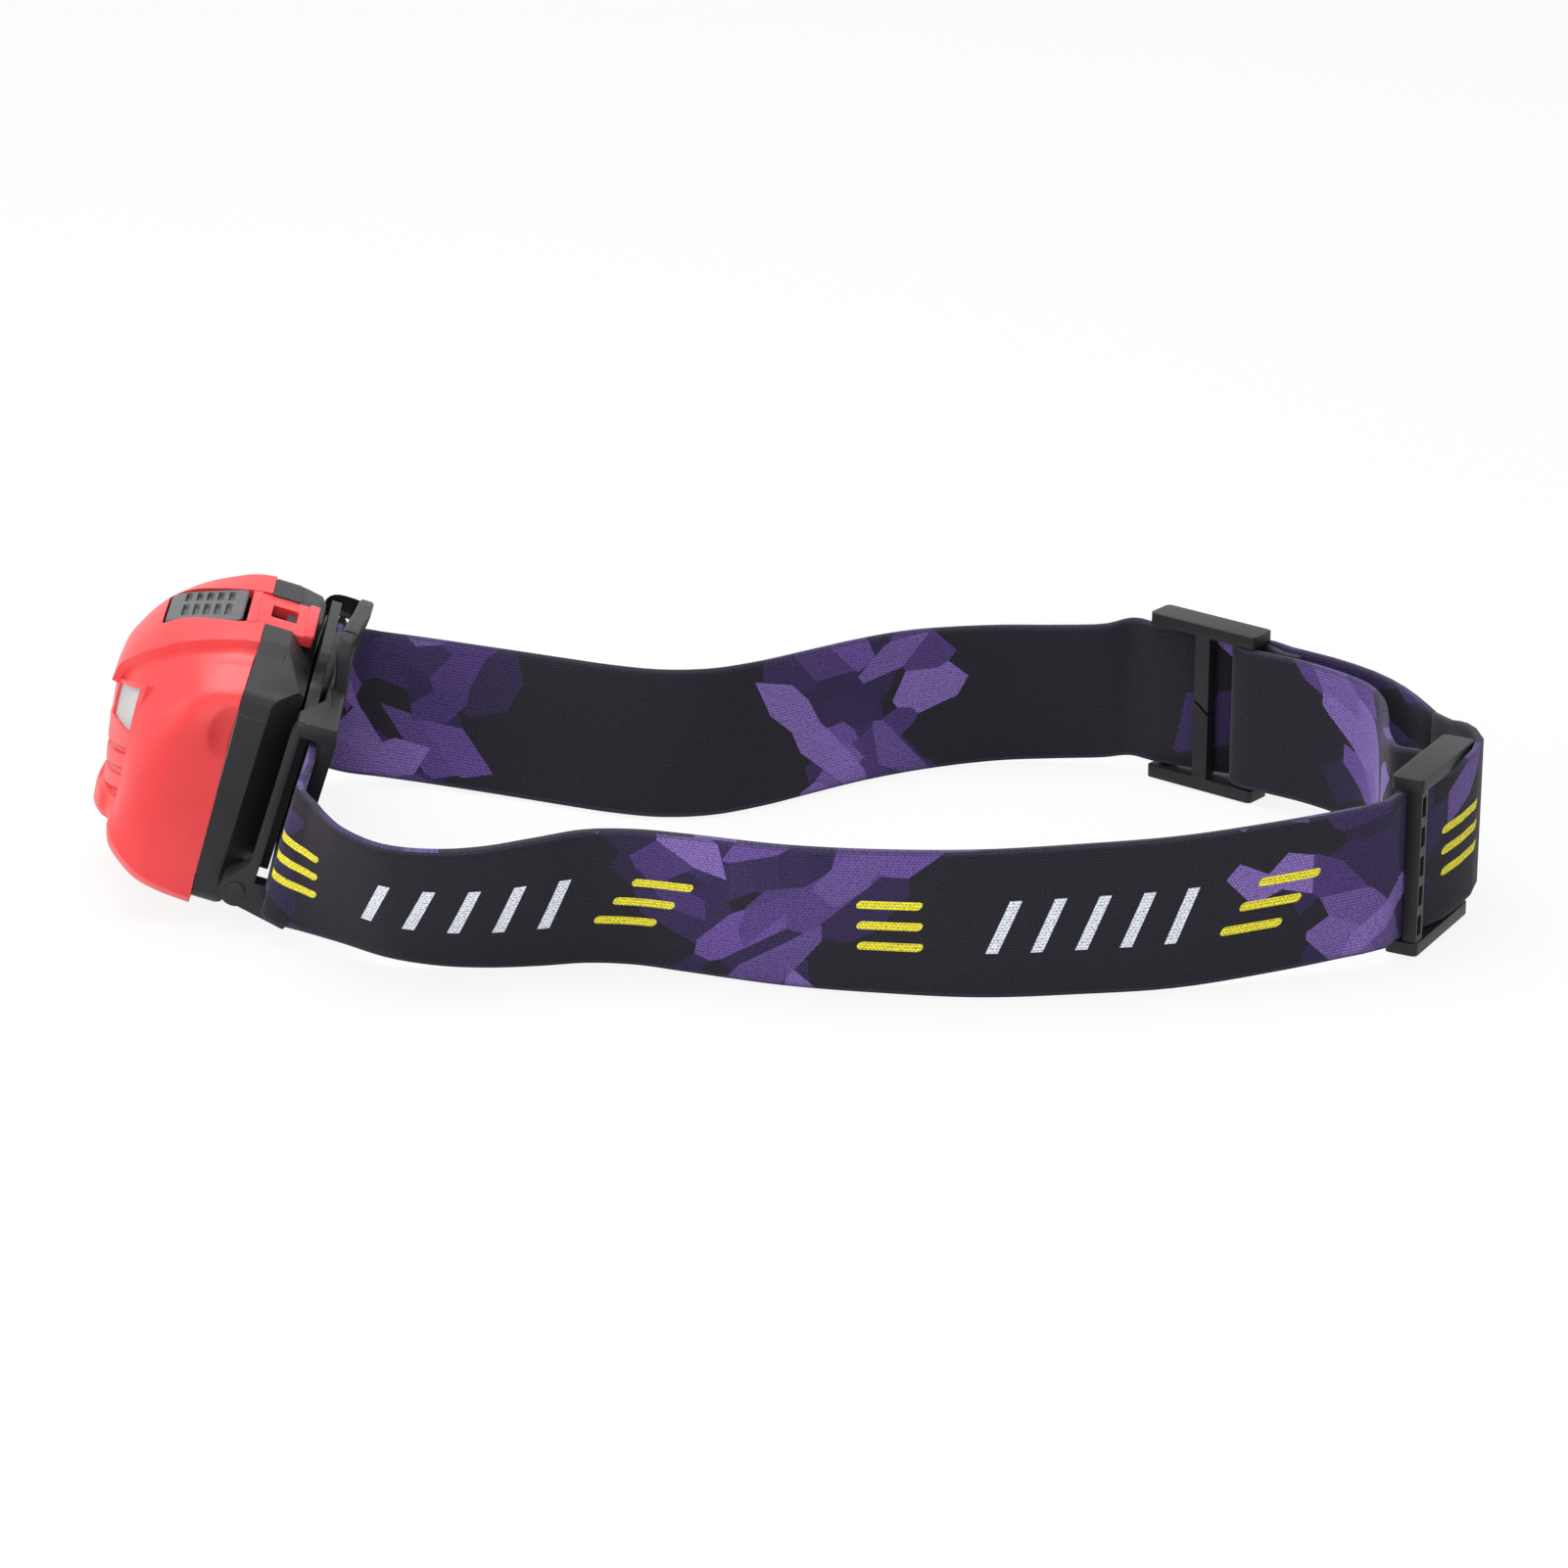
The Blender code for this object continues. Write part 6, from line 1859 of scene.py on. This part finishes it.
@dataclass
class Button:
    """The ribbed rubber key, which follows the hood's curve.

    Attributes:
        front: front end of the key.
        rear: rear end.
        half: half its width.
        depth: thickness.
        proud: how far it stands over the hood.
        taper: how much narrower the front end is, as a share.
        plane_at, plane_rise, plane_fall: the flatter plane's start, slope and fall per square across.
        slot_pitch, slot_row: distance between slots, and of a row of them from the middle.
        slot_half, slot_depth: half a slot's size along and across, and its depth.
        corner, edge: how much the corners are drawn in, and the upper edge's rounding.
    """

    front: float = -23.2
    rear: float = -11.35
    half: float = 7.6
    taper: float = 0.16
    depth: float = 2.6
    proud: float = 0.3
    plane_at: tuple[float, float] = (-22.9, 32.0)
    plane_rise: float = 0.376
    plane_fall: float = 0.010
    slot_pitch: float = 1.65
    slot_half: tuple[float, float] = (0.46, 2.35)
    slot_row: float = 3.1
    slot_depth: float = 0.85
    corner: float = 0.35
    edge: float = 0.6

    def hood_height(self, x: float, y: float) -> float:
        """Height of the hood at a place.

        Args:
            x: from front to head.
            y: across.

        Returns:
            The height.
        """
        for (x0, z0, _, k0), (x1, z1, _, k1) in zip(HOOD, HOOD[1:]):
            if x1 <= x <= x0:
                t = (x0 - x) / (x0 - x1)
                return z0 + (z1 - z0) * t - (k0 + (k1 - k0) * t) * y * y
        return HOOD[0][1]

    def face_height(self, x: float, y: float) -> float:
        """Height of the key's face at a place: between the hood's curve and a flatter plane."""
        plane = self.plane_at[1] + self.plane_rise * (x - self.plane_at[0]) - self.plane_fall * y * y
        return 0.3 * (self.hood_height(x, y) + self.proud) + 0.7 * plane

    def slots(self, x: float, y: float) -> float:
        """How the grip slots change the height at a place.

        Args:
            x: from front to head.
            y: across.

        Returns:
            The change, 0 or less.
        """
        middle = (self.front + self.rear) / 2
        sunk = 0.0
        for index in range(-2, 3):
            for row in (-1, 1):
                off_x = abs(x - middle - index * self.slot_pitch) / self.slot_half[0]
                off_y = abs(y - row * self.slot_row) / self.slot_half[1]
                off = off_x ** 4 + off_y ** 10
                if off < 1.0:
                    sunk = min(sunk, -self.slot_depth * min(1.0, 2.5 * (1.0 - off)))
        return sunk

    def edge_fall(self, x: float, y: float) -> float:
        """How far the key's rounded edge falls at a place measured from its middle.

        Args:
            x: from front to head.
            y: across.

        Returns:
            The fall.
        """
        over_x = max(0.0, abs(x) - (self.rear - self.front) / 2 + self.edge)
        over_y = max(0.0, abs(y) - self.half + self.edge)
        over = min(math.hypot(over_x, over_y), self.edge)
        return self.edge - math.sqrt(self.edge ** 2 - over ** 2)

    def build(self, palette: Palette) -> None:
        """Make the key and hang it on its body.

        Args:
            palette: the materials.
        """
        count_x, count_y = 84, 104
        half_x, middle = (self.rear - self.front) / 2, (self.rear + self.front) / 2
        lines, backs = [], []
        for column in range(count_x + 1):
            line, back = [], []
            for row in range(count_y + 1):
                u, v = 2 * column / count_x - 1, 2 * row / count_y - 1
                x = middle + u * (half_x - self.corner * max(0.0, abs(v) - 0.88) ** 2 / 0.0144)
                half = self.half * (1.0 - self.taper * (1.0 - u) / 2)
                y = v * (half - self.corner * max(0.0, abs(u) - 0.85) ** 2 / 0.0225)
                base = self.face_height(x, y)
                fall = self.edge_fall(u * half_x, v * self.half)
                line.append(Vector((x, y, base + self.slots(x, y) - fall)))
                back.append(Vector((x, y, base - self.depth)))
            lines.append(line)
            backs.append(back)
        piece = grid_piece("button_key", lines, backs, False)
        set_in_place(smooth(piece, 50.0), LAMP_PLACE)
        palette.dress(piece, RUBBER)
        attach(piece, Body.BUTTON.value)
        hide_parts("mode_button")
        report(piece)


@dataclass
class LatchTab:
    """The red tongue that snaps over the housing's catch.

    Attributes:
        root: where it leaves the hood.
        tip: its free end.
        half: half its width.
        low: its underside.
        high: its top.
    """

    root: float = -9.28
    tip: float = 0.3
    half: float = 7.35
    low: float = 34.2
    high: float = 35.95

    def build(self, palette: Palette) -> None:
        """Make the tab and hang it on its body.

        Args:
            palette: the materials.
        """
        piece = slab("latch_tongue", Axis.Z, rounded([
            (self.root - 3.0, -self.half, 0.4), (self.tip, -self.half, 0.8), (self.tip, self.half, 0.8),
            (self.root - 3.0, self.half, 0.4)]), self.low, self.high, 0.3, 3)
        piece = cut(piece, block("root_cut", (self.root - 6.0, -9.0, 30.0), (self.root, 9.0, 40.0)))
        lip_low = (self.tip - 1.6, -self.half, self.low)
        lip_high = (self.tip + 0.25, self.half, self.high + 0.45)
        piece = join(piece, block("lip", lip_low, lip_high, 0.35))
        piece = cut(piece, slab("tab_hole", Axis.Z, rounded([
            (-7.1, -2.5, 0.35), (-2.8, -2.5, 0.35), (-2.8, 3.0, 0.35), (-7.1, 3.0, 0.35)]), 30.0, 40.0))
        set_in_place(smooth(piece, 40.0), LAMP_PLACE)
        palette.dress(piece, RED)
        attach(piece, Body.LATCH.value)
        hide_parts("latch_tab")
        report(piece)


def softened(node: Piece, name: str, radius: float, segments: int = 3) -> Piece:
    """A solid's own copy with its sharp edges rounded.

    Args:
        node: the solid.
        name: name of the copy.
        radius: rounding, in metres.
        segments: steps of the rounding.

    Returns:
        The copy.
    """
    mesh = node.data.copy()
    mesh.transform(node.matrix_world)
    piece = bpy.data.objects.new(name, mesh)
    bpy.context.scene.collection.objects.link(piece)
    activate(piece)
    bpy.ops.object.mode_set(mode="EDIT")
    bpy.ops.mesh.select_all(action="SELECT")
    bpy.ops.mesh.remove_doubles(threshold=0.000005)
    bpy.ops.mesh.dissolve_limited(angle_limit=math.radians(1.0))
    bpy.ops.object.mode_set(mode="OBJECT")
    finish_with(piece, "BEVEL", width=radius, segments=segments, limit_method="ANGLE",
                angle_limit=math.radians(24.0), use_clamp_overlap=True, harden_normals=False)
    return smooth(piece, 30.0)


def bar(name: str, path: Sequence[Vector], wide: float, high: float, corner: float) -> Piece:
    """A bar of rounded square section swept along a path.

    Args:
        name: name of the object.
        path: places along its middle.
        wide: half its size along x.
        high: half its size across the bow.
        corner: how much each corner is cut.

    Returns:
        The bar.
    """
    ring = ((wide, high - corner), (wide - corner, high), (corner - wide, high), (-wide, high - corner),
            (-wide, corner - high), (corner - wide, -high), (wide - corner, -high), (wide, corner - high))
    places, faces = [], []
    for index, place in enumerate(path):
        way = (path[min(index + 1, len(path) - 1)] - path[max(index - 1, 0)]).normalized()
        side = (Vector((1.0, 0.0, 0.0)) - way * way.x).normalized()
        over = way.cross(side)
        places += [place + side * u + over * v for u, v in ring]
    for index in range(len(path) - 1):
        for step in range(8):
            here, beside = 8 * index + step, 8 * index + (step + 1) % 8
            faces.append((here, beside, beside + 8, here + 8))
    last = 8 * (len(path) - 1)
    faces += [tuple(reversed(range(8))), tuple(range(last, last + 8))]
    mesh = bpy.data.meshes.new(name)
    mesh.from_pydata(places, [], faces)
    piece = bpy.data.objects.new(name, mesh)
    bpy.context.scene.collection.objects.link(piece)
    activate(piece)
    bpy.ops.object.mode_set(mode="EDIT")
    bpy.ops.mesh.select_all(action="SELECT")
    bpy.ops.mesh.normals_make_consistent(inside=False)
    bpy.ops.object.mode_set(mode="OBJECT")
    return piece


# Places along the loop's bow, from the near foot to the far one
LOOP_PATH = (
    (7.0, -12.6, 29.2), (6.8, -12.6, 32.0), (6.3, -12.6, 35.0), (5.6, -12.4, 37.4), (5.5, -11.6, 38.6),
    (5.7, -10.2, 39.0), (6.1, -6.0, 39.0), (6.9, 2.0, 38.5), (7.3, 8.0, 38.0), (7.5, 11.0, 37.2),
    (7.5, 12.4, 35.4), (7.2, 12.6, 32.0), (7.0, 12.6, 29.2),
)
# Corners of the housing's faceted shoulder across the lamp, and x and fall of its lines
SHOULDER_SECTION = ((9.0, 36.15), (16.9, 35.6), (22.4, 32.65), (26.5, 28.85), (27.15, 27.2))
SHOULDER_LINES = ((-7.0, 0.0), (-3.4, 0.0), (0.85, 4.4))


@dataclass
class Mouldings:
    """The black mouldings: each solid's form with the soft edges of a moulded piece.

    Attributes:
        plans: name of each piece, its solid, its body, its slot and its rounding.
    """

    plans: tuple[tuple[str, str, Body, str, float], ...] = (
        ("housing_shell", "rear_housing", Body.HOUSING, "black_plastic", 0.00025),
        ("bracket_frame", "mount_bracket", Body.BRACKET, "black_plastic", 0.00035),
        ("buckle_near_frame", "slide_buckle_near", Body.BUCKLE_NEAR, "buckle_plastic", 0.0003),
        ("buckle_far_frame", "slide_buckle_far", Body.BUCKLE_FAR, "buckle_plastic", 0.0003),
    )

    def flanges(self) -> list[Piece]:
        """The flat tops that run from each ear to the loop's posts.

        Returns:
            The two flanges.
        """
        made = []
        for side in Side:
            outline = rounded([
                (1.4, 31.45, 1.2), (7.95, 31.45, 0.8), (7.9, 11.2, 0.6), (4.9, 11.2, 0.4), (4.9, 19.0, 2.0),
                (2.6, 24.5, 2.5), (1.4, 26.8, 1.0)])
            outline = [(x, side.value * y) for x, y in outline]
            made.append(set_in_place(slab("flange", Axis.Z, outline, 28.7, 31.1, 0.4, 3), LAMP_PLACE))
        return made

    def loop(self) -> Piece:
        """The split loop over the bracket, swept along its bow.

        Returns:
            The loop.
        """
        path = spline(LOOP_PATH, 56)
        piece = bar("loop", path, 1.18, 1.22, 0.35)
        piece = cut(piece, block("split", (0.0, -10.75, 34.0), (12.0, -10.3, 44.0)))
        return set_in_place(piece, LAMP_PLACE)

    def caps(self) -> list[Piece]:
        """The shallow caps that close the knuckles over the tilt pins' ends.

        Returns:
            The two caps.
        """
        made = []
        for side in Side:
            low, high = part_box("tilt_pin_near" if side is Side.NEAR else "tilt_pin_far")
            radius = 0.5 * (high[2] - low[2]) + 0.0004
            end = low[1] if side is Side.NEAR else high[1]
            middle = (0.5 * (low[0] + high[0]), end, 0.5 * (low[2] + high[2]))
            made.append(pin("cap", Axis.Y, middle, radius, 0.0008, 32, 0.0003))
        return made

    def fitted(self, piece: Piece) -> Piece:
        """The housing with its front edge brought to the slanting parting line.

        Args:
            piece: the housing.

        Returns:
            The same object.
        """
        piece.data.transform(LAMP_PLACE.inverted())
        for vertex in piece.data.vertices:
            if vertex.co.x < HOUSING_PARTING[1]:
                vertex.co = to_parting(vertex.co.copy(), *HOUSING_PARTING)
        return set_in_place(piece, LAMP_PLACE)

    def shoulders(self) -> list[Piece]:
        """The faceted top corners of the housing.

        Returns:
            The two corners.
        """
        made = []
        for side in Side:
            lines, backs = [], []
            for y, z in SHOULDER_SECTION:
                inward = Vector((0.0, -y, 20.0 - z)).normalized()
                drawn = [Vector((x, y, z)) + inward * fall for x, fall in SHOULDER_LINES]
                line = [to_parting(place, *HOUSING_PARTING) for place in drawn]
                lines.append([Vector((p.x, side.value * p.y, p.z)) for p in line])
                backs.append([p + Vector((0.0, side.value * inward.y, inward.z)) * 1.3 for p in lines[-1]])
            made.append(set_in_place(grid_piece("shoulder", lines, backs, False), LAMP_PLACE))
        return made

    def plate(self, node: Piece) -> Piece:
        """The inner plate, drawn in to clear the shell's wall.

        Args:
            node: the solid plate.

        Returns:
            The drawn-in copy.
        """
        piece = softened(node, "inner_closing_plate", 0.0002)
        piece.data.transform(LAMP_PLACE.inverted())
        high = max(vertex.co.z for vertex in piece.data.vertices)
        low = min(vertex.co.z for vertex in piece.data.vertices)
        middle = Vector((0.0, 0.0, (high + low) / 2 - 0.6))
        smaller = Matrix.Diagonal((1.0, 0.9, 0.88, 1.0))
        drawn_in = Matrix.Translation(middle) @ smaller @ Matrix.Translation(-middle)
        piece.data.transform(LAMP_PLACE @ drawn_in)
        return piece

    def build(self, nodes: dict[str, Piece], palette: Palette) -> None:
        """Make the mouldings and hang each on its body.

        Args:
            nodes: the frame's objects by name.
            palette: the materials.
        """
        for name, source, body, slot, radius in self.plans:
            piece = softened(nodes[source], name, radius)
            if source == "mount_bracket":
                room = set_in_place(block("loop_room", (3.6, -16.0, 31.2), (12.0, 16.0, 46.0)), LAMP_PLACE)
                piece = smooth(join(cut(piece, room), *self.flanges(), self.loop(), *self.caps()), 30.0)
            elif source == "rear_housing":
                piece = smooth(join(self.fitted(piece), *self.shoulders()), 13.0)
            palette.dress(piece, BUCKLE if slot == BUCKLE.name else BLACK)
            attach(piece, body.value)
            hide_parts(source)
            report(piece)
        piece = self.plate(nodes["inner_plate"])
        palette.dress(piece, BLACK)
        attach(piece, Body.COVER.value)
        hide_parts("inner_plate")
        report(piece)


# Stage


@dataclass
class Studio:
    """White floor, soft light and the camera at the photograph's angle.

    Attributes:
        elevation: the camera's height angle.
        distance: from the camera to its target.
        target: what it looks at.
        focal: focal length over the width of the picture.
        sensor: width of the picture, in millimetres.
        glow: share of the floor's look that is plain white.
        even_light: strength of the light from all round.
    """

    WHITE = (1.0, 1.0, 1.0, 1.0)

    elevation: float = math.radians(21.0)
    distance: float = 0.893
    target: Vector = field(default_factory=lambda: Vector((0.0010, 0.00636, 0.01322)))
    focal: float = 5537.0 / 1601.0
    sensor: float = 36.0
    glow: float = 0.88
    even_light: float = 0.28

    def camera(self) -> None:
        """Set the camera."""
        lens = bpy.data.cameras.new("camera")
        lens.sensor_fit = "HORIZONTAL"
        lens.sensor_width = self.sensor
        lens.lens = self.focal * self.sensor
        lens.clip_start = 0.01
        made = bpy.data.objects.new("camera", lens)
        bpy.context.scene.collection.objects.link(made)
        back = Vector((0.0, -math.cos(self.elevation), math.sin(self.elevation)))
        made.location = self.target + back * self.distance
        made.rotation_euler = (math.pi / 2 - self.elevation, 0.0, 0.0)
        bpy.context.scene.camera = made

    def lamp(self, name: str, place: Point, size: float, watts: float) -> None:
        """A square soft light that faces the target.

        Args:
            name: name of the light.
            place: where it stands.
            size: its side.
            watts: its power.
        """
        light = bpy.data.lights.new(name, "AREA")
        light.size = size
        light.energy = watts
        made = bpy.data.objects.new(name, light)
        bpy.context.scene.collection.objects.link(made)
        made.location = place
        made.rotation_euler = (Vector(place) - self.target).to_track_quat("Z", "Y").to_euler()

    def white_share(self, graph: Graph) -> Socket:
        """1 for rays that show the background as such: camera, glossy and clear ones.

        Args:
            graph: the graph that needs it.

        Returns:
            The share's socket.
        """
        path = graph.node("ShaderNodeLightPath")
        first = graph.math("MAXIMUM", path.outputs["Is Camera Ray"], path.outputs["Is Glossy Ray"])
        return graph.math("MAXIMUM", first, path.outputs["Is Transmission Ray"])

    def floor(self) -> None:
        """A pale floor that keeps a faint shadow."""
        rest_mode()
        bpy.ops.mesh.primitive_plane_add(size=8.0)
        made = bpy.context.object
        made.name = "floor"
        made.location.z = -0.0002
        paper = bpy.data.materials.new("floor_paper")
        paper.use_nodes = True
        graph = Graph(paper.node_tree)
        paper.node_tree.nodes.remove(paper.node_tree.nodes["Principled BSDF"])
        matt = graph.node("ShaderNodeBsdfDiffuse")
        matt.inputs["Color"].default_value = (0.9, 0.9, 0.9, 1.0)
        glow = graph.node("ShaderNodeEmission")
        glow.inputs["Color"].default_value = self.WHITE
        share = graph.times(self.white_share(graph), self.glow)
        mixed = graph.node("ShaderNodeMixShader")
        for target, value in zip(mixed.inputs, (share, matt.outputs[0], glow.outputs[0])):
            graph.feed(target, value)
        graph.feed(paper.node_tree.nodes["Material Output"].inputs["Surface"], mixed.outputs[0])
        made.data.materials.append(paper)

    def sky(self) -> None:
        """Even light from all round, white where it is seen."""
        world = bpy.data.worlds.new("studio")
        bpy.context.scene.world = world
        world.use_nodes = True
        graph = Graph(world.node_tree)
        shown = graph.node("ShaderNodeBackground")
        shown.inputs["Strength"].default_value = 1.0
        shown.inputs["Color"].default_value = self.WHITE
        lit = world.node_tree.nodes["Background"]
        lit.inputs["Color"].default_value = self.WHITE
        lit.inputs["Strength"].default_value = self.even_light
        mixed = graph.node("ShaderNodeMixShader")
        for target, value in zip(mixed.inputs, (self.white_share(graph), lit.outputs[0], shown.outputs[0])):
            graph.feed(target, value)
        graph.feed(world.node_tree.nodes["World Output"].inputs["Surface"], mixed.outputs[0])

    def build(self) -> None:
        """Set camera, floor and light."""
        self.camera()
        self.floor()
        self.sky()
        self.lamp("light_above", (-0.15, 0.10, 1.05), 0.8, 10.0)
        self.lamp("light_front", (-0.25, -1.15, 0.45), 0.9, 3.8)
        self.lamp("light_left", (-1.1, -0.2, 0.6), 0.7, 3.0)
        bpy.context.scene.view_settings.view_transform = "Standard"


def main() -> None:
    """Build the looks around the frame."""
    logging.basicConfig(level=logging.INFO, format="%(name)s: %(message)s")
    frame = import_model()
    studio = Studio()
    studio.build()
    palette = Palette()
    palette.mix_all()
    dress_nodes(frame["nodes"], palette)
    Strap().build(palette)
    cover = Cover()
    cover.build(palette)
    Lens().build(palette, cover)
    Button().build(palette)
    LatchTab().build(palette)
    Mouldings().build(frame["nodes"], palette)


if __name__ == "__main__":
    main()
